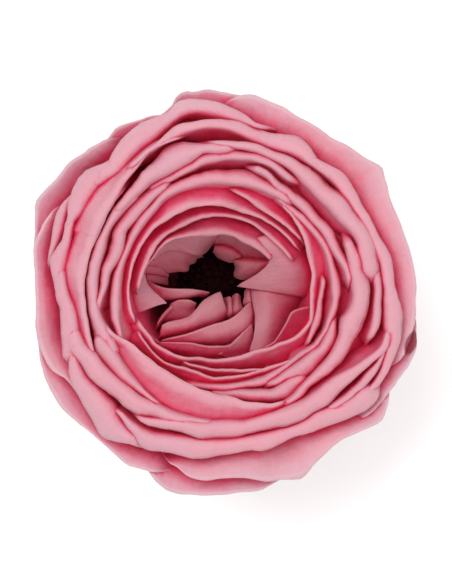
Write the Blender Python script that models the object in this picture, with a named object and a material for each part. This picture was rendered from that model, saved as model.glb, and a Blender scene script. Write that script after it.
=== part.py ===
# Preserved rose head: a bloom of layered petals, the dark stamens in its hollow, and the calyx it sits on.
# The head stands on the cut face of its stub and the tips of its sepals, with the origin in the middle of that
# face and +Z up. Its neck bends a little towards +X, -Y. Lengths are in millimetres here and become metres when
# a mesh is made.

import math

import bmesh
import bpy
import numpy as np

millimetre = 0.001

# Driving sizes
blade_thickness = 0.65
seat_gap = 0.3
bloom_base_height = 9.1
crest_height = 41.6
stub_radius = 2.3
hip_radius = 5.0
sepal_count = 5
first_sepal_bearing = 18.0
sepal_reach = 17.5
sepal_width = 6.4
sepal_thickness = 0.9
sepal_keel = 0.35
stamen_count = 44
stamen_disc_radius = 5.6
stamen_disc_height = 1.2
stamen_lengths = (3.6, 5.6)
well_floor_height = 20.2
well_shift = 1.9

# The bend of the neck: the head stands aside by lean_reach from lean_height up, and its crown slopes down that way
lean_bearing = 315.0
lean_reach = 4.62
lean_height = 26.0
crown_slope = 0.09
crown_slope_from = 24.0
crown_slope_over = 18.0

# The form of a petal: its belly stands at belly_inset plus a share of its rim's reach, and each drop is measured
# down from its top
belly_height = 21.0
belly_inset = 13.5
belly_share = 0.42
corner_depth = 8.0
corner_drop = 1.2
root_height = 13.4
root_inset = 1.4
root_depth = 4.2
wall_drop = 7.2
shoulder_drop = 2.4
lip_curl = 0.2
hood_drop = 3.4
guard_drop = 4.4
edge_drop = 1.1

# How finely it is all built
column_step = 18.0
guard_column_step = 13.0
fewest_columns = 5
hollow_columns = 4
disc_sides = 18
hip_sides = 20
scatter_seed = 7
weld_distance = 0.005
flat_angle = 3.0
bow_limit = 0.05

# Height of the petals' tops over the stub, by reach from the bloom's middle
crown_profile = [
    (0, 33.0), (8, 34.6), (10, 35.8), (12, 37.0), (13, 37.6), (16, 39.6), (19, 41.2), (21, crest_height),
    (23.5, 41.1), (26, 39.8), (28, 38.2), (30, 36.2), (33, 33.0),
]

# The packed petal bases: reach and height of their turned outline, from the base out and up, then into the well
core_outline = [
    (5.0, bloom_base_height), (10.0, 9.8), (15.5, 12.4), (21.0, 16.6), (23.9, 20.6), (24.8, 24.0), (25.4, 30.0),
    (24.6, 35.0), (22.0, 36.8), (17.5, 35.8),
]
well_outline = [(14.0, 33.2), (11.6, 29.6), (9.6, 25.0), (7.6, 21.4), (6.6, well_floor_height)]
core_sides = 20

# The hip on its stub: reach and height from the cut face up
hip_outline = [
    (stub_radius, 0.0), (stub_radius, 2.2), (3.4, 3.4), (hip_radius, 5.2), (hip_radius, 7.0),
    (4.6, bloom_base_height - seat_gap),
]

# One sepal: reach, height of its middle and share of its full width, from the hip to the tip that lies flat
sepal_spine = [
    (2.6, 6.6, 0.62), (6.0, 7.2, 0.95), (9.5, 6.5, 1.0), (13.0, 3.8, 0.78), (15.4, 1.3, 0.5),
    (16.6, 0.5 * sepal_thickness, 0.34), (sepal_reach, 0.5 * sepal_thickness, 0.12),
]

# One stamen: share of its length and radius, thin below and fat at the anther
stamen_spindle = [(0.0, 0.34), (0.72, 0.3), (0.84, 0.62), (0.97, 0.5)]

# Each petal round the bloom, from the outside in: its form, how far its rim is lifted, how many degrees its
# corners take to tuck away, and its rim as (bearing, inner reach, outer reach).
# A guard opens outwards, a lip is a wall with its rim turned out, and a hood is a wall whose rim leans in.
ring_petals = {
    "guard_right": ("guard", 0.0, 9, [
        (-20, 25.2, 28.2), (-10, 25.2, 28.7), (0, 25.3, 28.5), (10, 25.2, 28.35), (20, 24.4, 28.0),
        (30, 24.1, 28.5), (35, 24.3, 29.3), (38.5, 24.6, 30.0), (43, 24.8, 29.3), (52, 24.2, 28.4),
        (60, 24.6, 28.1), (70, 24.9, 28.6), (75, 24.7, 29.1), (81, 25.2, 30.0), (87, 26, 29.4)]),
    "guard_top": ("guard", -1.0, 9, [
        (76, 26, 29.0), (83, 26.3, 29.5), (92, 27.5, 30.2), (96, 27.6, 30.7), (99, 27.6, 30.5),
        (101.5, 27.5, 30.9), (104, 27.3, 30.4), (106, 27, 29.2), (110, 26.8, 28.2)]),
    "guard_top_left": ("guard", -1.5, 9, [
        (104, 26.5, 27.8), (110, 27.0, 28.4), (120, 27.2, 29.2), (125, 27.1, 29.5), (130, 26.6, 29.1),
        (138, 26.6, 29.9)]),
    "guard_left_top": ("guard", -1.0, 9, [
        (128, 26.4, 29.0), (135, 26.9, 29.8), (140, 27.4, 30.4), (148, 27.5, 30.7), (153.5, 27.6, 31.5),
        (158, 27.5, 30.9), (162, 27.5, 30.2), (168, 27.2, 29.4)]),
    "guard_left": ("guard", 0.0, 9, [
        (156, 27.0, 28.8), (162, 27.1, 29.3), (170, 26.8, 29.0), (180, 26.0, 28.4), (188, 25.5, 28.7),
        (195, 25.5, 29.2), (200, 25.2, 28.7), (209, 24.8, 27.2), (215, 25.2, 26.6)]),
    "guard_low_left": ("guard", -2.0, 9, [
        (188, 27, 28.6), (197, 27, 29.4), (207, 26.8, 30.2), (215, 26.8, 30.2), (225, 27.3, 29.4),
        (235, 27.5, 29.4), (240, 27.3, 29.8), (248, 27, 29.1)]),
    "guard_bottom": ("guard", -2.5, 9, [
        (246, 27.5, 29.2), (250, 27.6, 30.2), (256, 28, 31.2), (265, 27.8, 30.5), (275, 27.8, 30.2),
        (281, 28, 30), (286, 28, 29.4)]),
    "guard_front": ("guard", 0.0, 9, [
        (254, 26, 27.2), (261, 25.4, 28.4), (268, 24.8, 28.2), (274, 24.2, 28.1), (284, 24.1, 29.3),
        (292, 24.1, 30.1), (300, 24.5, 28.6), (310, 25.7, 28.5), (315, 26.5, 29.2), (321, 27.5, 30.2),
        (326, 27.6, 29.3)]),
    "guard_low_right": ("guard", -1.0, 9, [
        (318, 25.9, 28.2), (328, 26.4, 28.5), (336, 27.2, 29.4), (343, 27.8, 29.8), (349, 27.8, 29.2)]),
    "top_roll": ("lip", 0.0, 9, [
        (78, 25.0, 25.6), (83, 25.0, 26.4), (90, 25.7, 27.8), (95, 26.4, 28.6), (100, 27.0, 29.2),
        (104, 26.9, 29.2), (112, 25.6, 28.2), (120, 24.7, 27.9), (129, 24.1, 26.8), (137, 24.4, 27.1),
        (141, 25, 27)]),
    "left_top_roll": ("lip", 0.3, 5, [
        (131, 25.1, 26.2), (137, 25.1, 27.3), (140, 24.9, 27.9), (149, 24.7, 27.2), (157, 25.3, 26.0)]),
    "left_fold": ("lip", 0.2, 5, [
        (153, 25.2, 25.7), (162, 24.6, 25.7), (169, 24.4, 26.8), (175, 24.4, 25.9), (180, 24.4, 25.4)]),
    "left_roll": ("lip", 0.0, 6, [
        (173, 24.5, 25.5), (182, 23.5, 25.4), (190, 22.7, 25.1), (197, 23.0, 25.5), (202, 24, 26)]),
    "low_left_roll": ("lip", 0.0, 6, [
        (200, 24.3, 25.2), (208, 24.3, 26.4), (215, 24.0, 26.8), (225, 23.7, 27.9), (230, 24.2, 28.4),
        (234, 24.2, 27.3), (239, 24, 26)]),
    "front_roll": ("lip", 0.0, 9, [
        (229, 24.4, 25.2), (235, 24.0, 26.4), (240, 23.8, 27.0), (246, 23.2, 26.0), (255, 22.5, 25.3),
        (265, 22.2, 24.8), (275, 21.9, 23.8), (285, 21.9, 24), (298, 22.3, 24.1), (305, 22.4, 25.0),
        (315, 23.4, 26.4), (325, 24.8, 27.7)]),
    "right_roll": ("lip", 0.0, 9, [
        (322, 25.6, 26.3), (330, 26, 27.0), (338, 25.6, 27.0), (350, 24.1, 26.8), (360, 23.8, 25.35),
        (370, 23.5, 25.3), (384, 22.9, 24.1), (395, 22.8, 24.4), (405, 23.0, 25.0), (411, 23.0, 24.3),
        (418, 23.2, 24.0)]),
    "top_right_roll": ("lip", 0.3, 9, [
        (48, 23.0, 23.8), (55, 22.8, 24.1), (65, 22.6, 25.4), (73, 22.5, 24.8), (80, 22.8, 24.75),
        (90, 24.1, 25.6), (100, 24.5, 25.65), (106, 24.4, 25.9), (114, 24.0, 24.6), (126, 23.3, 23.9)]),
    "top_left_hood": ("hood", 0.0, 9, [
        (108, 24.0, 24.6), (118, 23.8, 24.4), (127, 22.7, 24.1), (137, 21.8, 24.0), (147, 21.2, 24.1),
        (158, 21.0, 24.2)]),
    "left_hood": ("hood", -0.3, 9, [
        (136, 21.3, 23.6), (150, 20.9, 23.7), (160, 21.05, 24.0), (170, 21.15, 24.0), (182, 21.15, 22.8),
        (195, 21.1, 22.5), (206, 21.9, 22.8)]),
    "low_left_band": ("lip", 0.3, 9, [
        (195, 22.8, 24.2), (201, 22.4, 25), (210, 21.3, 24.0), (220, 20.7, 23.2), (230, 20.3, 22.7),
        (240, 19.7, 21.7), (250, 19.5, 20.8), (262, 19.5, 20.0)]),
    "front_band": ("lip", 0.3, 9, [
        (250, 20.3, 21.3), (262, 19.7, 22.1), (270, 19.35, 21.9), (280, 19.7, 21.5), (300, 19.6, 22.1),
        (310, 20.1, 22.4), (320, 20.6, 22.7), (330, 22.3, 23.6), (340, 24.4, 25.5), (345, 24.6, 25.2)]),
    "right_band": ("lip", 0.2, 9, [
        (8, 20.9, 23.2), (17, 20.8, 23.6), (25, 20.8, 23.1), (36, 19.8, 22.5), (50, 19.9, 22.3),
        (60, 20.5, 22.1), (70, 21.0, 22.2), (82, 21.5, 22.4), (94, 22.2, 22.7)]),
    "top_band": ("lip", 0.2, 9, [
        (89, 20.9, 22.0), (99, 21.15, 22.5), (105, 20.3, 23.2), (110, 20.0, 23.6), (116, 19.85, 22.8),
        (125, 19.8, 21.5), (142, 19.8, 20.6)]),
    "left_band": ("lip", 0.0, 9, [
        (134, 19.4, 20.4), (144, 19.6, 20.8), (160, 19.4, 20.8), (175, 19.4, 20.9), (190, 19.3, 20.8),
        (203, 18.2, 20.7), (208, 18.4, 20.4)]),
    "right_cup": ("lip", 0.0, 9, [
        (299, 18.6, 19.2), (306, 18.3, 19.4), (315, 18.0, 19.1), (325, 18.2, 19.8), (337, 18.3, 20.3),
        (346, 18.0, 21.1), (355, 19.0, 21.3), (367, 18.9, 21.1), (382, 19.2, 20.3)]),
    "right_inner_lip": ("lip", 0.0, 9, [
        (6, 18.2, 18.8), (20, 17.2, 18.4), (35, 16.8, 18.15), (53, 16.8, 18.15), (64, 17.3, 18.4),
        (76, 18.6, 19.4)]),
    "front_hood": ("hood", 0.2, 9, [
        (198, 18.2, 19.2), (206, 16.7, 18.6), (215, 15.4, 18.5), (225, 15.0, 18.8), (240, 14.7, 19.3),
        (255, 14.9, 19.3), (270, 15.6, 19.0), (280, 16.6, 19.2), (290, 17.8, 19.2), (296, 18.3, 19.2)]),
    "upper_left_band": ("lip", 0.0, 9, [
        (120, 18.0, 18.8), (134, 17.4, 19.2), (148, 17.7, 19.3), (156, 16.9, 18.6), (166, 16.9, 18.6),
        (178, 17.8, 18.9), (190, 18.5, 19.1)]),
    "top_lip": ("lip", 0.2, 9, [
        (56, 16.1, 16.8), (68, 16.1, 17.5), (80, 16.2, 18.4), (95, 16.4, 18.3), (115, 16.8, 18.0),
        (130, 16.3, 17.2), (150, 15.9, 17.0), (172, 15.7, 16.2)]),
    "front_lip": ("lip", -0.2, 9, [
        (252, 14.5, 15.0), (270, 14.4, 15.4), (280, 15, 16.3), (290, 15.8, 17.6), (300, 16.2, 18.3),
        (311, 16.8, 18.0)]),
    "low_right_lip": ("lip", 0.0, 9, [
        (296, 15.0, 15.7), (305, 14.9, 16.2), (313, 15.1, 17.4), (325, 15.8, 17.8), (340, 16.5, 18.1),
        (350, 17.4, 18.2)]),
    "right_rim": ("hood", 0.0, 9, [
        (216, 12.1, 12.8), (230, 11.2, 12.0), (250, 10.7, 11.4), (270, 10.3, 11.2), (290, 10.6, 11.7),
        (310, 11.2, 12.2), (330, 12.3, 13.7), (345, 12.7, 13.7), (360, 12.6, 13.8), (380, 13.4, 14.9),
        (395, 14.2, 15.4), (416, 15.4, 15.9)]),
    "top_right_rim": ("hood", -0.3, 9, [
        (36, 13.7, 14.2), (50, 13.3, 14.7), (63, 13.4, 15.2), (77, 14.4, 15.8), (85, 15.2, 16.0)]),
    "back_rim": ("hood", 0.2, 9, [
        (34, 12.5, 12.9), (50, 12.25, 12.9), (70, 12.1, 13.3), (80, 12.4, 14.0), (90, 12.7, 15.2),
        (105, 13.4, 16.0), (120, 13.7, 16.1), (135, 14.1, 15.7), (150, 14.5, 15.4), (180, 14.4, 15.1),
        (197, 14.1, 15.3), (212, 13.9, 15.0)]),
    "back_inner_rim": ("hood", 0.0, 9, [
        (28, 11.0, 11.6), (45, 10.5, 11.5), (70, 10.7, 11.7), (90, 11.5, 12.3), (110, 11.8, 13.0),
        (130, 12.0, 13.4), (150, 12.4, 13.9), (176, 13.0, 13.9)]),
    "cup_rim": ("hood", 0.0, 9, [
        (38, 8.6, 9.6), (57, 8.1, 10.1), (75, 8.1, 10.1), (95, 8.7, 10.7), (115, 9.5, 11.2),
        (139, 11.3, 12.1), (162, 12.4, 12.6)]),
    "front_rim_outer": ("hood", 0.0, 9, [
        (192, 14.0, 14.6), (204, 13.6, 15.3), (220, 13.1, 14.3), (236, 12.8, 13.9), (250, 12.8, 13.6),
        (270, 12.6, 13.8), (290, 12.5, 13.6), (306, 13.1, 13.6)]),
    "front_rim_inner": ("hood", -0.3, 9, [
        (196, 12.2, 12.9), (215, 10.9, 11.7), (235, 9.9, 10.8), (255, 9.3, 10.1), (275, 9.2, 9.9),
        (295, 9.7, 10.4), (325, 10.2, 11.4), (345, 10.0, 11.6), (352, 10.3, 11.7)]),
}

# The short petals that lie round the hollow, each as lines of points across it, from its free edge to its root
hollow_petals = {
    "right_fan": [
        [(4.9, 7.4, 33.9), (6.4, 6.0, 33.4), (6.4, 4.5, 32.9), (4.9, 2.9, 31.9), (1.8, 0.95, 30.2)],
        [(6.2, 7.9, 34.4), (8.4, 6.2, 34.3), (9.2, 4.2, 33.9), (8.4, 2.0, 33.0), (5.2, 0.6, 31.6)],
        [(7.6, 8.8, 34.4), (10.6, 6.6, 34.0), (12.2, 4.4, 33.4), (12.6, 1.6, 32.4), (11.4, -0.8, 31.6)]],
    "right_fan_low": [
        [(3.6, 0.6, 29.7), (4.05, -1.2, 30.2), (4.05, -4.0, 31.0), (3.8, -6.8, 31.8), (3.5, -9.4, 32.0)],
        [(6.5, 0.6, 31.0), (6.8, -1.5, 31.4), (6.7, -4.0, 32.0), (6.2, -6.6, 32.5), (5.4, -9.2, 32.6)],
        [(11.4, 0.4, 30.4), (10.4, -2.2, 30.4), (9.6, -4.8, 31.0), (8.8, -6.8, 31.6), (7.5, -8.8, 32.0)]],
    "right_tongue": [
        [(9.7, -2.4, 32.4), (8.9, -5.2, 32.9), (7.9, -6.6, 33.2), (5.3, -8.0, 33.3)],
        [(11.2, -1.9, 32.4), (10.6, -5.1, 32.8), (9.0, -7.0, 33.0), (5.9, -8.5, 33.2)],
        [(13.0, -1.4, 33.8), (12.6, -5.2, 34.2), (10.6, -7.8, 34.2), (6.5, -9.6, 34.0)]],
    "front_fold": [
        [(3.9, -1.1, 29.8), (2.4, -2.7, 31.1), (0.2, -4.1, 31.9), (-2.6, -5.35, 32.2), (-5.6, -6.4, 32.3),
         (-8.9, -7.6, 32.0)],
        [(4.3, -3.4, 30.4), (3.2, -4.7, 31.2), (1.0, -6.1, 31.6), (-2.0, -7.1, 31.6), (-5.6, -7.5, 31.4),
         (-9.1, -8.0, 31.2)],
        [(4.4, -5.6, 29.6), (3.6, -6.8, 29.6), (1.6, -8.6, 29.4), (-1.6, -9.2, 29.2), (-5.4, -9.0, 29.2),
         (-9.4, -8.7, 29.6)]],
    "front_fold_low": [
        [(3.8, -5.2, 31.4), (2.2, -6.7, 31.9), (0.3, -8.2, 32.2), (-1.4, -10.2, 32.2)],
        [(4.1, -6.2, 31.2), (3.1, -7.5, 31.4), (1.6, -8.8, 31.4), (0.2, -10.4, 31.4)],
        [(4.4, -7.4, 30.2), (4.0, -8.6, 30.2), (3.2, -9.6, 30.2), (1.6, -10.8, 30.2)]],
    "front_strip": [
        [(-9.9, -7.1, 32.5), (-7.0, -7.8, 32.8), (-4.0, -8.0, 32.9), (-0.8, -8.2, 32.8), (1.6, -8.0, 32.4)],
        [(-10.1, -8.0, 31.9), (-7.1, -8.9, 32.1), (-3.9, -9.2, 32.1), (-0.8, -9.3, 32.1), (1.8, -9.1, 31.8)],
        [(-10.4, -9.2, 30.4), (-7.2, -9.9, 30.4), (-3.8, -10.3, 30.4), (-0.8, -10.4, 30.4),
         (2.0, -10.2, 30.4)]],
    "front_tongue": [
        [(-0.9, -0.1, 30.7), (-2.9, -1.0, 31.1), (-4.3, -2.5, 31.3), (-6.0, -4.0, 31.5), (-8.6, -4.75, 31.7),
         (-10.0, -6.0, 31.3)],
        [(-0.3, -1.7, 30.9), (-1.8, -2.9, 31.4), (-3.5, -4.2, 31.6), (-5.8, -5.4, 31.7), (-8.2, -6.2, 31.7),
         (-10.1, -6.6, 31.2)],
        [(0.3, -3.4, 30.2), (-0.4, -4.8, 30.4), (-2.8, -6.1, 30.6), (-5.3, -7.1, 30.8), (-7.8, -7.7, 30.8),
         (-10.2, -7.4, 30.6)]],
    "left_streak": [
        [(-11.6, 2.2, 30.8), (-9.8, 0.95, 31.0), (-7.2, 0.5, 30.9), (-4.9, 0.2, 30.5), (-3.3, -0.5, 30.0)],
        [(-11.6, 0.9, 30.4), (-9.7, 0.1, 30.7), (-7.4, -0.1, 30.6), (-5.2, -0.3, 30.3), (-3.7, -0.8, 29.8)],
        [(-11.4, -0.6, 29.6), (-9.6, -0.8, 29.8), (-7.6, -0.9, 29.8), (-5.6, -0.9, 29.6),
         (-4.2, -1.2, 29.2)]],
    "left_fold_low": [
        [(-8.4, -1.5, 30.2), (-6.9, -1.0, 30.5), (-5.4, -1.2, 30.3), (-4.2, -1.8, 29.8)],
        [(-9.8, -3.8, 30.4), (-7.9, -3.2, 30.0), (-6.2, -3.0, 29.6), (-5.0, -3.4, 29.6)],
        [(-11.8, -5.9, 30.8), (-9.6, -5.6, 30.2), (-7.4, -5.2, 29.8), (-5.6, -5.0, 29.8)]],
    "left_curl": [
        [(-12.4, 3.0, 33.8), (-11.6, 0.9, 33.3), (-10.2, -0.7, 32.9), (-8.8, -1.7, 32.4)],
        [(-12.9, 2.8, 34.2), (-12.5, 0.6, 33.9), (-11.6, -1.0, 33.5), (-10.2, -1.9, 32.8)],
        [(-13.6, 2.6, 34.2), (-13.7, 0.4, 34.2), (-13.5, -1.5, 33.8), (-13.1, -3.0, 33.2)]],
    "back_wall_left": [
        [(-9.6, 2.6, 28.4), (-6.4, 3.5, 27.4), (-4.6, 4.8, 26.6), (-2.6, 6.2, 26.4), (-1.5, 7.4, 27.4)],
        [(-11.0, 3.2, 31.0), (-8.4, 5.2, 30.9), (-6.0, 6.4, 30.8), (-3.0, 7.6, 30.6), (-1.2, 8.3, 31.0)],
        [(-12.6, 3.4, 33.4), (-10.8, 7.0, 33.6), (-7.2, 8.8, 33.6), (-2.8, 9.6, 33.6), (-0.6, 9.4, 33.6)]],
    "back_wall_right": [
        [(-2.2, 5.4, 26.0), (0.6, 4.2, 27.0), (3.4, 4.0, 28.4), (6.4, 3.9, 29.6)],
        [(-1.8, 7.2, 29.6), (1.4, 6.6, 30.2), (4.2, 5.9, 30.6), (6.9, 5.0, 31.0)],
        [(-1.4, 9.2, 33.4), (2.4, 9.2, 33.6), (5.6, 7.8, 33.4), (7.6, 6.0, 32.8)]],
}


def smooth_value(stations, values, at):
    """A curve through the values given at rising stations, read at other places."""
    stations = np.asarray(stations, float)
    values = np.asarray(values, float)
    at = np.clip(at, stations[0], stations[-1])
    slopes = np.gradient(values, stations)
    steps = np.diff(stations)
    chords = np.diff(values) / steps
    turning = np.flatnonzero(chords[:-1] * chords[1:] <= 0) + 1
    slopes[turning] *= 0.35
    k = np.clip(np.searchsorted(stations, at, side="right") - 1, 0, len(stations) - 2)
    t = (at - stations[k]) / steps[k]
    start = (1 + 2 * t) * (1 - t) ** 2 * values[k] + t * (1 - t) ** 2 * steps[k] * slopes[k]
    end = t * t * (3 - 2 * t) * values[k + 1] + t * t * (t - 1) * steps[k] * slopes[k + 1]
    return start + end


def crown_height_at(reach):
    """Height of the bloom's top at a reach from its middle."""
    reaches, heights = zip(*crown_profile)
    return smooth_value(reaches, heights, reach)


def lean_direction():
    bearing = math.radians(lean_bearing)
    return np.array([math.cos(bearing), math.sin(bearing)])


def leaned(points):
    """Moves points of the upright flower to where the bend of its neck takes them, and slopes its crown."""
    points = np.array(points, float)
    toward = lean_direction()
    along = points[..., :2] @ toward
    share = np.clip((points[..., 2] - crown_slope_from) / crown_slope_over, 0, 1)
    rise = np.clip(points[..., 2:] / lean_height, 0, 1)
    points[..., 2] -= crown_slope * along * share
    points[..., :2] += lean_reach * rise ** 2 * (3 - 2 * rise) * toward
    return points


def in_well(points):
    """Leans points of the well, whose floor lies back from the middle of the head."""
    points = np.array(points, float)
    depth = (crest_height - points[..., 2:]) / (crest_height - well_floor_height)
    moved = leaned(points)
    moved[..., :2] -= well_shift * np.clip(depth, 0, 1) ** 2 * lean_direction()
    return moved


def guard_lines(inner, outer, top, belly, sink):
    """Reach and height of a guard's lines, from the root up and out to its free edge."""
    edge = top - edge_drop
    return [
        (0.72 * belly - 1.0, 0 * edge + root_height),
        (belly, belly_height - 0.2 * sink),
        (inner - 0.3, edge - guard_drop),
        (0.6 * inner + 0.4 * outer, edge - 0.9),
        (outer, edge),
    ]


def lip_lines(inner, outer, top, belly, sink):
    """Reach and height of a lip's lines: up the wall, over the shoulder, out and a little down to the edge."""
    return [
        (0.15 * belly + 0.85 * (inner - 0.5), top - wall_drop),
        (inner - 0.1, top - shoulder_drop),
        (0.6 * inner + 0.4 * outer, top - 0.1),
        (outer, top - 0.15 - lip_curl * (outer - inner)),
    ]


def hood_lines(inner, outer, top, belly, sink):
    """Reach and height of a hood's lines: up the outside of the wall, over, and in to the free edge."""
    return [
        (0.25 * belly + 0.75 * (outer + 0.5), top - wall_drop),
        (outer + 0.15, top - hood_drop),
        (0.3 * inner + 0.7 * outer, top - 0.9 - 0.1 * (outer - inner)),
        (inner, top - 0.1),
    ]


petal_forms = {"guard": guard_lines, "lip": lip_lines, "hood": hood_lines}


def ring_petal_points(form, lift, tuck, rim):
    """The grid of points of one petal that stands round the bloom."""
    bearings, inner, outer = np.array(rim, float).T
    step = guard_column_step if form == "guard" else column_step
    span = bearings[-1] - bearings[0] + 2 * tuck
    columns = max(fewest_columns, round(span / step) + 1)
    bearing = np.linspace(bearings[0] - tuck, bearings[-1] + tuck, columns)
    inner = smooth_value(bearings, inner, bearing)
    outer = smooth_value(bearings, outer, bearing)
    corner = np.clip(np.maximum(bearings[0] - bearing, bearing - bearings[-1]) / tuck, 0, 1)
    half_width = (outer - inner) / 2 * (1 - 0.5 * corner)
    middle = (inner + outer) / 2
    belly = belly_inset + belly_share * middle
    sink = corner_depth * (1 - np.sqrt(1 - 0.98 * corner ** 2)) + corner_drop * corner
    top = crown_height_at(outer if form == "guard" else middle) + lift - sink
    if form == "guard":
        middle = middle + (belly - middle) * corner ** 2
    lines = petal_forms[form](middle - half_width, middle + half_width, top, belly, sink)
    turn = np.radians(bearing)
    return np.array([np.stack([reach * np.cos(turn), reach * np.sin(turn), height], 1) for reach, height in lines])


def line_points(line, count):
    """A number of points evenly along a smooth curve through a line's own points."""
    line = np.array(line, float)
    own = np.linspace(0, 1, len(line))
    at = np.linspace(0, 1, count)
    return np.stack([smooth_value(own, line[:, axis], at) for axis in range(3)], 1)


def hollow_petal_points(lines):
    """The grid of points of one short petal at the hollow, with a root line sunk outwards into the bases."""
    rows = [line_points(line, hollow_columns) for line in lines]
    root = rows[-1].copy()
    reach = np.hypot(root[:, 0], root[:, 1])[:, None]
    root[:, :2] *= (reach + root_inset) / reach
    root[:, 2] -= root_depth
    return np.array([root] + rows[::-1])


def new_object(name, mesh, material):
    mesh.materials.append(material)
    made = bpy.data.objects.new(name, mesh)
    bpy.context.scene.collection.objects.link(made)
    return made


def petal_object(name, points, material):
    """One petal: a grid of triangles through its points, given its thickness."""
    rows, columns = points.shape[:2]
    shell = bmesh.new()
    bmesh.ops.create_grid(shell, x_segments=columns - 1, y_segments=rows - 1, size=1)
    shell.verts.ensure_lookup_table()
    for vertex, place in zip(shell.verts, leaned(points).reshape(-1, 3)):
        vertex.co = place * millimetre
    bmesh.ops.triangulate(shell, faces=shell.faces, quad_method="FIXED")
    mesh = bpy.data.meshes.new(name)
    shell.to_mesh(mesh)
    shell.free()
    made = new_object(name, mesh, material)
    wall = made.modifiers.new("Thickness", "SOLIDIFY")
    wall.thickness = blade_thickness * millimetre
    wall.offset = 0
    return made


def turned_ring(reach, height, sides):
    turns = math.tau * np.arange(sides) / sides
    return np.stack([reach * np.cos(turns), reach * np.sin(turns), height + 0 * turns], 1)


def turned_object(name, placed_rings, material):
    """A closed solid through rings of points, from its lower face round to its upper face."""
    solid = bmesh.new()
    sides = len(placed_rings[0])
    rings = [[solid.verts.new(point * millimetre) for point in ring] for ring in placed_rings]
    for low, high in zip(rings, rings[1:]):
        for k in range(sides):
            following = (k + 1) % sides
            solid.faces.new([low[k], low[following], high[following], high[k]])
    solid.faces.new(rings[0][::-1])
    solid.faces.new(rings[-1])
    bmesh.ops.recalc_face_normals(solid, faces=solid.faces)
    mesh = bpy.data.meshes.new(name)
    solid.to_mesh(mesh)
    solid.free()
    return new_object(name, mesh, material)


def fuse(body, pieces):
    """Joins pieces to the body they grow from in one union, and removes them."""
    group = bpy.data.collections.new(body.name + "_pieces")
    bpy.context.scene.collection.children.link(group)
    for piece in pieces:
        bpy.context.scene.collection.objects.unlink(piece)
        group.objects.link(piece)
    union = body.modifiers.new("Union", "BOOLEAN")
    union.operation = "UNION"
    union.operand_type = "COLLECTION"
    union.solver = "MANIFOLD"
    union.collection = group
    joined = bpy.data.meshes.new_from_object(body.evaluated_get(bpy.context.evaluated_depsgraph_get()))
    body.modifiers.clear()
    body.data = joined
    for piece in list(group.objects):
        bpy.data.objects.remove(piece)
    bpy.data.collections.remove(group)
    tidy_skin(body.data)


def bow(vertex):
    """How far a vertex with two edges stands off the line between its neighbours."""
    near, far = [edge.other_vert(vertex).co for edge in vertex.link_edges]
    along = far - near
    share = (vertex.co - near).dot(along) / along.length_squared
    return (vertex.co - near - along * share).length


def tidy_skin(mesh):
    """Cleans a fused skin: merges nearly flat faces, then drops scrap and the walls of sealed hollows."""
    skin = bmesh.new()
    skin.from_mesh(mesh)
    bmesh.ops.remove_doubles(skin, verts=skin.verts, dist=weld_distance * millimetre)
    bmesh.ops.dissolve_limit(skin, angle_limit=math.radians(flat_angle), verts=skin.verts, edges=skin.edges)
    needless = [v for v in skin.verts if len(v.link_edges) == 2 and bow(v) < bow_limit * millimetre]
    bmesh.ops.dissolve_verts(skin, verts=needless)
    bmesh.ops.triangulate(skin, faces=skin.faces, ngon_method="EAR_CLIP")
    drop_faces(skin, twin_faces(skin))
    shells = sorted(skin_shells(skin), key=len)
    drop_faces(skin, [face for shell in shells[:-1] for face in shell])
    skin.to_mesh(mesh)
    skin.free()


def twin_faces(skin):
    """Pairs of triangles on the same three corners, which enclose nothing."""
    on_corners = {}
    for face in skin.faces:
        on_corners.setdefault(frozenset(vertex.index for vertex in face.verts), []).append(face)
    return [face for faces in on_corners.values() if len(faces) > 1 for face in faces]


def skin_shells(skin):
    """The faces in groups that hang together."""
    waiting = set(skin.faces)
    shells = []
    while waiting:
        shell = [waiting.pop()]
        for face in shell:
            for edge in face.edges:
                for near in edge.link_faces:
                    if near in waiting:
                        waiting.discard(near)
                        shell.append(near)
        shells.append(shell)
    return shells


def drop_faces(skin, faces):
    bmesh.ops.delete(skin, geom=faces, context="FACES")
    bmesh.ops.delete(skin, geom=[edge for edge in skin.edges if not edge.link_faces], context="EDGES")
    bmesh.ops.delete(skin, geom=[vertex for vertex in skin.verts if not vertex.link_faces], context="VERTS")


def surface(name, colour, roughness):
    material = bpy.data.materials.new(name)
    material.use_nodes = True
    shader = material.node_tree.nodes["Principled BSDF"]
    shader.inputs["Base Color"].default_value = (*colour, 1)
    shader.inputs["Roughness"].default_value = roughness
    shader.inputs["Metallic"].default_value = 0
    material.diffuse_color = (*colour, 1)
    return material


def make_bloom():
    """All the petals, grown from the core of packed petal bases with its well in the middle."""
    pink = surface("Petal pink", (0.74, 0.32, 0.40), 0.6)
    rings = [leaned(turned_ring(*station, core_sides)) for station in core_outline]
    rings += [in_well(turned_ring(*station, core_sides)) for station in well_outline]
    core = turned_object("bloom", rings, pink)
    petals = [petal_object(name, ring_petal_points(*petal), pink) for name, petal in ring_petals.items()]
    petals += [petal_object(name, hollow_petal_points(lines), pink) for name, lines in hollow_petals.items()]
    fuse(core, petals)
    return core


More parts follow.
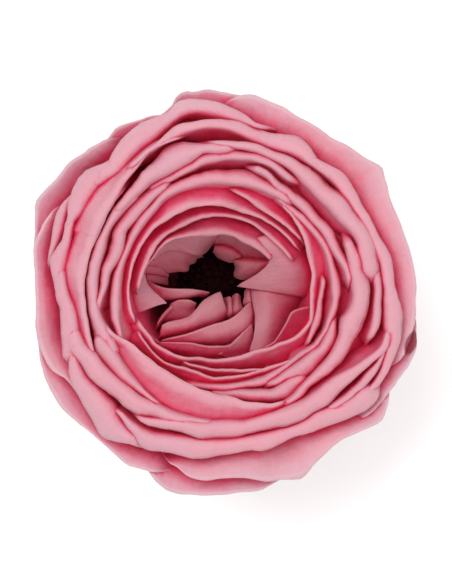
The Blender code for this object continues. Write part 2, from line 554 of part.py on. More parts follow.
def make_stamens():
    """The cluster of dark anthers on its disc at the foot of the well."""
    maroon = surface("Anther maroon", (0.02, 0.002, 0.004), 0.8)
    floor = well_floor_height + seat_gap
    outline = [
        (stamen_disc_radius, floor),
        (stamen_disc_radius, floor + 0.6 * stamen_disc_height),
        (0.5 * stamen_disc_radius, floor + stamen_disc_height),
    ]
    disc = turned_object("stamens", [in_well(turned_ring(*station, disc_sides)) for station in outline], maroon)
    rng = np.random.default_rng(scatter_seed)
    golden_turn = math.pi * (3 - math.sqrt(5))
    anthers = []
    for k in range(stamen_count):
        reach = (stamen_disc_radius - 1.2) * math.sqrt((k + 0.5) / stamen_count)
        turn = k * golden_turn
        foot = np.array([reach * math.cos(turn), reach * math.sin(turn), floor + 0.4])
        splay = 0.12 + 0.05 * reach
        tall = rng.uniform(*stamen_lengths) - 0.25 * reach
        head = foot + np.array([splay * math.cos(turn), splay * math.sin(turn), 1]) * tall
        anthers.append(stamen(f"stamen_{k}", foot, head, rng.uniform(0, math.tau), maroon))
    fuse(disc, anthers)
    return disc


def stamen(name, foot, head, twist, material):
    """One filament with its anther: a three-sided spindle that ends in a point."""
    along = (head - foot) / np.linalg.norm(head - foot)
    across = np.cross(along, (math.cos(twist), math.sin(twist), 0.1))
    across /= np.linalg.norm(across)
    beside = np.cross(along, across)
    solid = bmesh.new()
    rings = []
    for share, radius in stamen_spindle:
        middle = foot + (head - foot) * share
        ring = []
        for k in range(3):
            turn = math.tau * k / 3
            place = middle + radius * (math.cos(turn) * across + math.sin(turn) * beside)
            ring.append(solid.verts.new(in_well(place) * millimetre))
        rings.append(ring)
    for low, high in zip(rings, rings[1:]):
        for k in range(3):
            following = (k + 1) % 3
            solid.faces.new([low[k], low[following], high[following], high[k]])
    tip = solid.verts.new(in_well(head) * millimetre)
    for k in range(3):
        solid.faces.new([rings[-1][k], rings[-1][(k + 1) % 3], tip])
    solid.faces.new(rings[0][::-1])
    bmesh.ops.triangulate(solid, faces=solid.faces)
    bmesh.ops.recalc_face_normals(solid, faces=solid.faces)
    mesh = bpy.data.meshes.new(name)
    solid.to_mesh(mesh)
    solid.free()
    return new_object(name, mesh, material)


def sepal(name, bearing, material):
    """One sepal: a keeled leaf that arches out from the hip and down, with its tip flat on the surface."""
    turn = math.radians(bearing)
    out = np.array([math.cos(turn), math.sin(turn), 0])
    side = np.array([-math.sin(turn), math.cos(turn), 0])
    up = np.array([0, 0, 1])
    solid = bmesh.new()
    rings = []
    for reach, height, width in sepal_spine:
        middle = out * reach + up * height
        half = side * sepal_width / 2 * width
        keel = up * sepal_keel * max(width - sepal_spine[-2][2], 0)
        rim = up * sepal_thickness / 2
        ring = [middle - half - rim, middle + keel - rim, middle + half - rim,
                middle + half + rim, middle + keel + rim, middle - half + rim]
        rings.append([solid.verts.new(point * millimetre) for point in ring])
    for low, high in zip(rings, rings[1:]):
        for k in range(6):
            following = (k + 1) % 6
            solid.faces.new([low[k], high[k], high[following], low[following]])
    solid.faces.new(rings[0])
    solid.faces.new(rings[-1][::-1])
    bmesh.ops.triangulate(solid, faces=solid.faces)
    bmesh.ops.recalc_face_normals(solid, faces=solid.faces)
    mesh = bpy.data.meshes.new(name)
    solid.to_mesh(mesh)
    solid.free()
    return new_object(name, mesh, material)


def make_calyx():
    """The hip with its trimmed stub of stem, and the five sepals folded back to the surface."""
    green = surface("Dried green", (0.11, 0.13, 0.045), 0.75)
    hip = turned_object("calyx", [leaned(turned_ring(*station, hip_sides)) for station in hip_outline], green)
    bearings = [first_sepal_bearing + 360 * k / sepal_count for k in range(sepal_count)]
    fuse(hip, [sepal(f"sepal_{k}", bearing, green) for k, bearing in enumerate(bearings)])
    return hip


def build():
    for leftover in list(bpy.data.objects):
        bpy.data.objects.remove(leftover)
    make_bloom()
    make_stamens()
    make_calyx()


build()
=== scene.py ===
import math

import bpy
import numpy as np
from mathutils import Matrix, Vector, noise
from mathutils.bvhtree import BVHTree


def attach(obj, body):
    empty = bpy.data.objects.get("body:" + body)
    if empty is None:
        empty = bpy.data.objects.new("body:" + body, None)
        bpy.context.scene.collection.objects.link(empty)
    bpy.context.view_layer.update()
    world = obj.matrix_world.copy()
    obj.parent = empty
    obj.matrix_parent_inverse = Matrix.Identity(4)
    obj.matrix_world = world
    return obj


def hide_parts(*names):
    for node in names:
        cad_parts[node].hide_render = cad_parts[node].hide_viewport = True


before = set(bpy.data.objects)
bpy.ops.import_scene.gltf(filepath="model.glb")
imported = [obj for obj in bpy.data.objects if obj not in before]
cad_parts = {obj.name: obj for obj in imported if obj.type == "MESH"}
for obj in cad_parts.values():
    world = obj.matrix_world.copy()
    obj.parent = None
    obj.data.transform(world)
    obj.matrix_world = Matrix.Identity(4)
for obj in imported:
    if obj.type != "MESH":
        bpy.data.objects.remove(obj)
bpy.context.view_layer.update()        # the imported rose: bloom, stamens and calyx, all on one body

mm = 0.001

# How the whole bloom stands, in millimetres over the stub's cut face
bloomShape = {
    # reach and height of the petals' tops
    "crown": [(0, 33.0), (8, 34.6), (10, 35.8), (12, 37.0), (13, 37.6), (16, 39.6), (19, 41.2), (21, 41.6),
              (23.5, 41.2), (26, 40.2), (28, 39.2), (30, 37.8), (33, 35.4)],
    "leanBearing": 315.0,  # the way the head nods, in degrees from +X
    "leanReach": 4.62,
    "leanHeight": 26.0,  # from here up the head stands straight again
    "crownSlope": 0.09,  # the crown falls this much toward the nod
    "crownSlopeFrom": 24.0,
    "crownSlopeOver": 18.0,
    "petalThickness": 0.3,
}

# Petals round the bloom from the outside in: form, lift of the rim, degrees its corners take to tuck away,
# and its rim as (bearing, inner reach, outer reach). A guard opens outwards, a lip is a wall with its rim
# turned out, and a hood is a wall whose rim leans in.
ringPetals = {
    "guardRight": ("guard", 0, 9, [
        (-20, 25.2, 28.2), (-10, 25.2, 28.7), (0, 25.3, 28.5), (10, 25.2, 28.35), (20, 24.4, 28),
        (30, 24.1, 28.5), (35, 24.3, 29.3), (38.5, 24.6, 30), (43, 24.8, 29.3), (47, 24.7, 28.8),
        (52, 24.2, 28.4), (60, 24.6, 28.1), (70, 24.9, 28.6), (75, 24.7, 29.1), (80, 25, 29.8),
        (82, 25.5, 30), (87, 26, 29.4)]),
    "guardTop": ("guard", -1, 9, [
        (76, 26, 29), (83, 26.3, 29.5), (88, 27, 29.7), (92, 27.5, 30.2), (96, 27.6, 30.7),
        (99, 27.6, 30.5), (101.5, 27.5, 30.9), (104, 27.3, 30.4), (106, 27, 29.2), (110, 26.8, 28.2)]),
    "guardTopLeft": ("guard", -1.5, 9, [
        (104, 26.5, 27.8), (110, 27, 28.4), (115, 27.2, 28.8), (120, 27.2, 29.2), (125, 27.1, 29.5),
        (127, 27, 29.1), (130, 26.6, 29.1), (133, 26.4, 29.6), (138, 26.6, 29.9)]),
    "guardLeftTop": ("guard", -1, 9, [
        (128, 26.4, 29), (135, 26.9, 29.8), (140, 27.4, 30.4), (145, 27.4, 30.4), (148, 27.5, 30.7),
        (152, 27.6, 31.3), (155, 27.6, 31.5), (158, 27.5, 30.9), (162, 27.5, 30.2), (168, 27.2, 29.4)]),
    "guardLeft": ("guard", 0, 9, [
        (156, 27, 28.8), (162, 27.1, 29.3), (166, 27, 29.5), (170, 26.8, 29), (175, 26.5, 28.7),
        (180, 26, 28.4), (185, 25.6, 28.5), (190, 25.5, 28.8), (195, 25.5, 29.2), (200, 25.2, 28.7),
        (205, 24.8, 28.2), (209, 24.8, 27.2), (215, 25.2, 26.6)]),
    "guardLowLeft": ("guard", -1, 9, [
        (188, 27, 28.6), (195, 27, 29.2), (200, 27, 29.6), (205, 27, 30), (210, 26.6, 30.3),
        (215, 26.8, 30.2), (220, 27, 29.9), (225, 27.3, 29.4), (230, 27.5, 29.3), (235, 27.5, 29.4),
        (240, 27.3, 29.8), (243, 27, 29.5), (248, 27, 29.1)]),
    "guardBottom": ("guard", -1.5, 9, [
        (246, 27.5, 29.2), (250, 27.6, 30.2), (253, 27.8, 31), (256, 28, 31.2), (260, 28, 30.9),
        (265, 27.8, 30.5), (270, 27.8, 30.3), (275, 27.8, 30.2), (279, 27.9, 30.2), (281, 28, 30),
        (286, 28, 29.4)]),
    "guardFront": ("guard", 0, 9, [
        (254, 26, 27.2), (259, 25.5, 28.4), (262, 25.3, 28.4), (268, 24.8, 28.2), (274, 24.2, 28.1),
        (279, 23.9, 28.5), (284, 24.1, 29.3), (288, 24.1, 29.7), (292, 24.1, 30.1), (296, 24.1, 29.2),
        (300, 24.5, 28.6), (305, 25.1, 28.3), (310, 25.7, 28.5), (315, 26.5, 29.2), (321, 27.5, 30.2),
        (326, 27.6, 29.3)]),
    "guardLowRight": ("guard", -1, 9, [
        (318, 25.9, 28.2), (324, 26.2, 28.6), (328, 26.4, 28.5), (332, 26.9, 28.9), (336, 27.2, 29.4),
        (340, 27.6, 29.8), (343, 27.8, 29.8), (349, 27.8, 29.2)]),
    "topRoll": ("lip", 0, 9, [
        (78, 25, 25.6), (81, 25, 25.8), (83, 25, 26.4), (86, 25.2, 27.1), (90, 25.7, 27.8),
        (95, 26.4, 28.6), (100, 27, 29.2), (104, 26.9, 29.2), (108, 26.3, 28.3), (112, 25.6, 28.2),
        (116, 25, 28.2), (120, 24.7, 27.9), (125, 24.3, 27.5), (129, 24.1, 26.8), (133, 24.1, 26.1),
        (137, 24.4, 27.1), (141, 25, 27)]),
    "leftTopRoll": ("lip", 0.3, 5, [
        (131, 25.1, 26.2), (134, 25.1, 26.6), (137, 25.1, 27.3), (140, 24.9, 27.9), (145, 24.8, 27.7),
        (149, 24.7, 27.2), (152, 24.8, 26.8), (154, 25.1, 26.2), (157, 25.3, 26)]),
    "leftFoldHigh": ("lip", -0.5, 5, [
        (148, 26.7, 27.4), (151, 26.6, 27.6), (155, 26.2, 27.8), (160, 25.9, 27.4), (165, 26.1, 27),
        (170, 26.4, 26.9)]),
    "leftFold": ("lip", 0.2, 5, [
        (153, 25.2, 25.7), (158, 24.9, 25.8), (162, 24.6, 25.7), (166, 24.5, 26.2), (169, 24.4, 26.8),
        (172, 24.4, 26.4), (176, 24.4, 25.8), (180, 24.4, 25.4)]),
    "leftRoll": ("lip", 0, 6, [
        (173, 24.5, 25.5), (178, 24, 25.6), (182, 23.5, 25.4), (186, 22.9, 25.1), (190, 22.7, 25.1),
        (195, 22.8, 25.3), (198, 23.2, 25.6), (202, 24, 26)]),
    "lowLeftRoll": ("lip", 0, 6, [
        (200, 24.3, 25.2), (204, 24.2, 25.6), (207, 24.3, 26.3), (210, 24.3, 26.6), (215, 24, 26.8),
        (220, 23.8, 27.2), (225, 23.8, 27.9), (229, 24.5, 28.4), (231, 24.8, 28.3), (234, 25.2, 27.7),
        (238, 25.6, 26.8)]),
    "frontRoll": ("lip", 0, 9, [
        (229, 23.8, 24.3), (232, 23.9, 24.7), (235, 23.9, 25.2), (240, 23.8, 26.4), (243, 23.6, 26.5),
        (246, 23.2, 26), (250, 22.9, 25.4), (255, 22.5, 25.3), (260, 22.3, 25.2), (265, 22.2, 24.8),
        (270, 22.1, 24.3), (275, 21.9, 23.8), (280, 21.8, 23.7), (282, 21.8, 24), (290, 22, 24),
        (296, 22.3, 23.9), (299, 22.4, 24.3), (305, 22.4, 25), (310, 22.8, 25.6), (315, 23.4, 26.4),
        (320, 24.3, 27.4), (325, 24.8, 27.7)]),
    "rightRoll": ("lip", 0, 9, [
        (322, 25.6, 26.3), (326, 25.8, 26.6), (330, 26, 27), (338, 25.6, 27), (345, 24.7, 26.9),
        (350, 24.1, 26.8), (355, 23.9, 26.3), (358, 23.8, 25.6), (360, 23.8, 25.35), (365, 23.6, 25.2),
        (370, 23.5, 25.3), (375, 23.2, 24.9), (380, 23, 24.4), (385, 22.9, 24.1), (390, 22.8, 24.1),
        (395, 22.8, 24.4), (400, 22.9, 24.75), (405, 23, 25), (410, 23, 24.4), (413, 23.1, 24.2),
        (418, 23.2, 24)]),
    "topRightRoll": ("lip", 0.3, 9, [
        (48, 23, 23.8), (52, 22.9, 24), (55, 22.8, 24.1), (60, 22.7, 24.8), (65, 22.6, 25.4),
        (70, 22.5, 24.9), (75, 22.6, 24.7), (80, 22.8, 24.75), (85, 23.4, 25.3), (90, 24.1, 25.6),
        (95, 24.5, 25.65), (100, 24.5, 25.65), (106, 24.4, 25.9), (110, 24.2, 25.3), (115, 24, 24.5),
        (120, 23.7, 24.2), (126, 23.3, 23.9)]),
    "lowRightFold": ("lip", 0, 6, [
        (312, 22.9, 23.5), (316, 23.2, 24), (320, 23.6, 24.5), (325, 24, 25), (330, 24.2, 25.2),
        (335, 24.9, 25.6), (340, 25.2, 25.6)]),
    "topLeftHood": ("hood", 0, 9, [
        (108, 24, 24.6), (113, 23.9, 24.6), (117, 23.8, 24.5), (120, 23.6, 24.3), (125, 22.9, 24.1),
        (130, 22.4, 24), (135, 21.9, 24), (140, 21.5, 24), (146, 21.2, 24.1), (152, 20.9, 24.1),
        (158, 21, 24.2)]),
    "leftHood": ("hood", -0.3, 9, [
        (136, 21.3, 23.6), (145, 21.1, 23.7), (150, 20.9, 23.7), (155, 20.9, 23.9), (160, 21.05, 24),
        (165, 21.1, 24), (170, 21.15, 24), (175, 21.15, 23.6), (180, 21.15, 23), (185, 21.1, 22.6),
        (190, 21.05, 22.5), (195, 21.1, 22.5), (200, 21.4, 22.6), (206, 21.9, 22.8)]),
    "lowLeftBand": ("lip", 0.3, 9, [
        (195, 22.8, 24.2), (198, 22.6, 25.2), (201, 22.4, 25), (205, 21.6, 24.2), (210, 21.3, 24),
        (215, 21, 23.6), (220, 20.7, 23.2), (225, 20.4, 22.9), (230, 20.3, 22.7), (235, 19.9, 22.3),
        (240, 19.7, 21.7), (245, 19.6, 21.1), (250, 19.5, 20.8), (255, 19.5, 20.4), (262, 19.5, 20)]),
    "frontBand": ("lip", 0.3, 9, [
        (236, 22.5, 23.1), (240, 21.8, 22.9), (245, 21.1, 22.5), (250, 20.4, 22.1), (254, 20.1, 22),
        (258, 19.9, 22), (262, 19.7, 22.1), (266, 19.5, 22),
        (270, 19.35, 21.9), (275, 19.5, 21.7), (278, 19.7, 21.5), (282, 19.6, 21.5), (290, 19.5, 21.8),
        (300, 19.6, 22.1), (305, 19.9, 22.1), (310, 20.1, 22.4), (315, 20.3, 22.6), (320, 20.6, 22.7),
        (325, 21.3, 23), (330, 22.3, 23.6), (335, 23.3, 24.4), (340, 24.4, 25.5), (345, 24.6, 25.2)]),
    "rightBandLow": ("lip", -0.5, 6, [
        (343, 22.2, 22.9), (347, 22.3, 23.3), (350, 22.3, 23.4), (355, 22.3, 23.4), (360, 22.3, 23.3),
        (365, 22.2, 23.3), (370, 22.2, 23.2), (376, 22.2, 23)]),
    "rightBand": ("lip", 0.2, 9, [
        (8, 20.9, 23.2), (12, 20.9, 23.4), (17, 20.8, 23.6), (20, 21.1, 23.4), (25, 20.8, 23.1),
        (30, 20.2, 22.8), (36, 19.8, 22.5), (40, 19.8, 22.3), (45, 19.8, 22.3), (50, 19.9, 22.3),
        (55, 20.1, 22.2), (60, 20.5, 22.1), (70, 21, 22.2), (80, 21.4, 22.4), (88, 21.8, 22.6),
        (94, 22.2, 22.7)]),
    "topBand": ("lip", 0.2, 9, [
        (89, 20.9, 22), (93, 20.8, 22.2), (96, 21, 22.4), (99, 21.15, 22.5), (102, 20.7, 22.8),
        (105, 20.3, 23.2), (108, 20.1, 23.5), (110, 20, 23.6), (113, 19.9, 23.4), (116, 19.85, 22.8),
        (120, 19.8, 22), (125, 19.8, 21.5), (130, 19.6, 21), (135, 19.6, 20.8), (142, 19.8, 20.6)]),
    "topInnerBand": ("lip", -0.4, 9, [
        (60, 19.2, 19.9), (64, 19.3, 20.2), (70, 19.9, 20.8), (75, 20, 21), (80, 20.1, 21.1),
        (85, 20, 21.2), (90, 19.9, 21.1), (95, 19.6, 20.8), (100, 19.4, 20.6), (105, 19, 20.1),
        (110, 18.8, 19.8), (115, 18.6, 19.7), (120, 18.5, 19.6), (126, 18.6, 19.5)]),
    "leftBand": ("lip", 0, 9, [
        (134, 19.4, 20.4), (140, 19.5, 20.8), (146, 19.6, 20.7), (152, 19.8, 20.6), (157, 19.6, 20.8),
        (160, 19.4, 20.8), (165, 19.4, 20.8), (170, 19.4, 20.8), (175, 19.4, 20.9), (180, 19.4, 20.9),
        (185, 19.4, 20.9), (190, 19.3, 20.8), (195, 18.9, 20.8), (199, 18.4, 20.8), (203, 18.2, 20.7),
        (208, 18.4, 20.4)]),
    "lowLeftSliver": ("lip", -0.2, 6, [
        (200, 19.7, 20.8), (204, 19.1, 21.2), (207, 18.8, 21.1), (212, 18.7, 20.8), (220, 18.8, 20.4),
        (225, 19, 20.1), (230, 19.2, 19.9), (238, 19.4, 19.7)]),
    "rightCup": ("lip", 0, 9, [
        (299, 18.6, 19.2), (303, 18.5, 19.3), (306, 18.3, 19.4), (310, 18.1, 19.1), (315, 18, 19.1),
        (320, 18, 19.4), (325, 18.2, 19.8), (330, 18.3, 20.3), (335, 18.3, 20.2), (340, 18.3, 20.5),
        (344, 18, 20.9), (347, 18, 21.1), (350, 18.5, 21.2), (354, 18.9, 21.3), (358, 19.1, 21.3),
        (362, 19, 21.3), (366, 18.9, 21.1), (370, 18.9, 21), (375, 19, 20.6), (382, 19.2, 20.3)]),
    "rightInnerLip": ("lip", 0, 9, [
        (6, 18.2, 18.8), (12, 18, 18.9), (16, 17.6, 18.7), (20, 17.2, 18.4), (25, 17, 18.2),
        (30, 16.9, 18.15), (40, 16.8, 18.15), (50, 16.8, 18.15), (55, 16.8, 18.2), (60, 17.2, 18.3),
        (65, 17.4, 18.4), (70, 18.2, 19), (76, 18.6, 19.4)]),
    "frontHood": ("hood", 0.2, 9, [
        (198, 18.2, 19.2), (203, 17.5, 18.9), (206, 16.7, 18.6), (210, 15.9, 18.5), (215, 15.4, 18.5),
        (220, 15.1, 18.6), (225, 15, 18.8), (230, 14.9, 19), (235, 14.8, 19.2), (240, 14.7, 19.3),
        (245, 14.7, 19.3), (250, 14.7, 19.3), (255, 14.9, 19.3), (260, 15.1, 19.2), (265, 15.4, 19.1),
        (270, 15.6, 19), (275, 16, 19.1), (280, 16.6, 19.2), (285, 17.2, 19.2), (290, 17.8, 19.2),
        (296, 18.3, 19.2)]),
    "upperLeftBand": ("lip", 0, 9, [
        (120, 18, 18.8), (125, 17.8, 19), (130, 17.6, 19.1), (135, 17.4, 19.2), (140, 17.4, 19.2),
        (145, 17.6, 19.3), (148, 17.7, 19.3), (152, 17.3, 19.1), (156, 16.9, 18.6), (160, 16.8, 18.6),
        (165, 17, 18.6), (170, 17.6, 18.7), (175, 17.9, 18.9), (180, 18.3, 19.1), (185, 18.8, 19.3)]),
    "topLip": ("lip", 0.2, 9, [
        (56, 16.1, 16.8), (60, 16.1, 16.9), (65, 16.1, 17.2), (70, 16.2, 17.7), (75, 16.2, 18.1),
        (80, 16.2, 18.4), (85, 16.2, 18.5), (90, 16.3, 18.2), (95, 16.4, 18.3), (100, 16.5, 18.2),
        (105, 16.6, 18.1), (110, 16.7, 18), (115, 16.8, 18), (120, 16.7, 17.9), (125, 16.6, 17.5),
        (130, 16.3, 17.2), (135, 16.1, 17), (140, 16, 17.1), (150, 16, 17), (158, 15.9, 16.7),
        (165, 16, 16.7), (172, 16, 17), (180, 16, 17.1), (188, 16.1, 17.3), (194, 16.5, 17.5),
        (200, 16.8, 17.5), (204, 17.1, 17.5)]),
    "frontLip": ("lip", -0.2, 9, [
        (264, 14.9, 15.3), (270, 14.9, 15.6), (275, 14.9, 15.9), (280, 15, 16.3), (285, 15.4, 17),
        (290, 15.8, 17.5), (295, 16.3, 18), (300, 16.2, 18.3), (305, 16.2, 18.3), (311, 16.8, 18)]),
    "lowRightLip": ("lip", 0, 9, [
        (296, 15, 15.7), (300, 15, 15.9), (305, 14.9, 16.2), (310, 15, 17), (315, 15.2, 17.5),
        (320, 15.4, 17.6), (325, 15.8, 17.8), (330, 16.4, 18), (335, 16.4, 18), (340, 16.5, 17.6),
        (344, 16.6, 17.1)]),
    "lowRightRim": ("lip", -0.3, 9, [
        (250, 14.5, 14.9), (256, 14.25, 14.85), (262, 14.1, 14.8), (270, 14, 14.75), (280, 13.9, 14.65),
        (290, 13.9, 14.9), (295, 14, 15), (300, 14, 15), (305, 14.1, 14.9), (310, 14.2, 14.9),
        (315, 14.3, 15.1), (320, 14.4, 15.3), (325, 14.8, 15.7), (330, 15.3, 16), (336, 15.6, 16)]),
    "rightRimHigh": ("lip", -0.2, 9, [
        (329, 15.5, 16.2), (333, 15.6, 16.2), (340, 15.8, 16.3), (345, 15.9, 16.5), (350, 16, 16.8),
        (355, 16.1, 16.8), (360, 15.9, 17), (365, 15.9, 17), (370, 15.9, 16.9), (375, 16, 16.8),
        (380, 16, 16.8), (390, 15.8, 16.6), (400, 15.5, 16.4), (410, 15.4, 16.2), (420, 15.7, 16.1)]),
    "rightRimMid": ("lip", -0.4, 9, [
        (329, 14.3, 14.7), (335, 14.1, 14.8), (340, 14, 15), (345, 14, 14.9), (350, 14, 14.7),
        (355, 14.1, 14.7), (360, 14.2, 14.7), (367, 14.4, 14.8)]),
    "rightRim": ("hood", 0, 9, [
        (200, 13.8, 14.6), (205, 13.5, 14.4), (210, 13.2, 14.1), (216, 13.2, 14), (222, 12.9, 13.8),
        (228, 12.5, 13.4), (232, 12.1, 12.9), (236, 11.7, 12.5), (240, 11.4, 12.1), (245, 11, 11.7),
        (250, 10.7, 11.4), (255, 10.45, 11.2), (260, 10.3, 11), (270, 10, 10.9), (280, 9.8, 10.9),
        (290, 9.75, 10.9), (300, 10, 11.2), (305, 10.4, 11.5), (310, 10.8, 11.8), (315, 11, 12.1),
        (320, 11.5, 12.7), (325, 12, 13.1), (330, 12.5, 13.6), (335, 12.9, 13.8), (340, 13.1, 13.9),
        (350, 12.8, 13.8), (360, 12.7, 13.8), (365, 12.8, 14.1), (370, 13.1, 14.4), (380, 13.4, 14.9),
        (390, 13.8, 15.3), (395, 14.2, 15.4), (400, 14.5, 15.5), (405, 14.8, 15.6), (410, 15.1, 15.8),
        (416, 15.4, 15.9)]),
    "topRightRim": ("hood", -0.3, 9, [
        (36, 13.7, 14.2), (42, 13.4, 14.3), (50, 13.3, 14.7), (60, 13.3, 15), (70, 13.8, 15.5),
        (77, 14.4, 15.8), (85, 15.2, 16)]),
    "backRim": ("hood", 0.2, 9, [
        (34, 12.5, 12.9), (40, 12.4, 13), (48, 12.3, 12.9), (55, 12.2, 12.9), (60, 12.15, 13),
        (70, 12.1, 13.3), (80, 12.4, 14), (85, 12.6, 14.6), (90, 12.7, 15.2), (95, 12.9, 15.5),
        (100, 13.2, 15.8), (105, 13.4, 16), (110, 13.6, 16.2), (115, 13.7, 16.2), (120, 13.7, 16.1),
        (125, 13.8, 16), (130, 13.9, 15.7), (140, 14.4, 15.6), (150, 14.5, 15.4), (160, 14.4, 15.2),
        (170, 14.4, 15.1), (180, 14.4, 15.1), (190, 14.3, 15.2), (196, 14.2, 15)]),
    "backInnerRim": ("hood", 0, 9, [
        (28, 11, 11.6), (33, 10.8, 11.6), (40, 10.6, 11.6), (50, 10.5, 11.5), (60, 10.6, 11.5),
        (70, 10.7, 11.7), (75, 10.8, 11.8), (80, 11, 12), (90, 11.5, 12.3), (100, 11.6, 12.7),
        (110, 11.8, 13), (120, 11.8, 13.2), (130, 12, 13.4), (140, 12.4, 13.8), (150, 12.4, 13.9),
        (160, 12.7, 13.9), (168, 12.8, 13.9), (176, 13, 13.9)]),
    "cupRim": ("hood", 0, 9, [
        (38, 8.2, 9.2), (45, 8.2, 9.6), (57, 8.1, 10.1), (70, 8, 10.1), (84, 8.4, 10.3), (95, 8.7, 10.7),
        (106, 9, 11), (115, 9.5, 11.2), (125, 10.1, 11.5), (139, 11.3, 12.1), (152, 12.1, 12.5),
        (162, 12.4, 12.6)]),
    "frontRimOuter": ("hood", 0, 9, [
        (206, 14.3, 14.8), (213, 14.2, 14.6), (220, 14.1, 14.5), (230, 13.8, 14.3), (236, 13.4, 14),
        (240, 13.1, 13.8), (245, 12.9, 13.6), (250, 12.8, 13.5), (260, 12.9, 13.5), (270, 12.8, 13.5),
        (280, 12.7, 13.4), (290, 12.7, 13.5), (300, 13, 13.9), (306, 13.5, 14.2), (312, 14, 14.5)]),
    "frontRimMid": ("hood", -0.1, 9, [
        (240, 12.2, 12.5), (245, 12, 12.45), (250, 11.85, 12.35), (260, 11.75, 12.3), (270, 11.6, 12.2),
        (280, 11.75, 12.35), (288, 12.1, 12.6), (294, 12.6, 12.9)]),
}

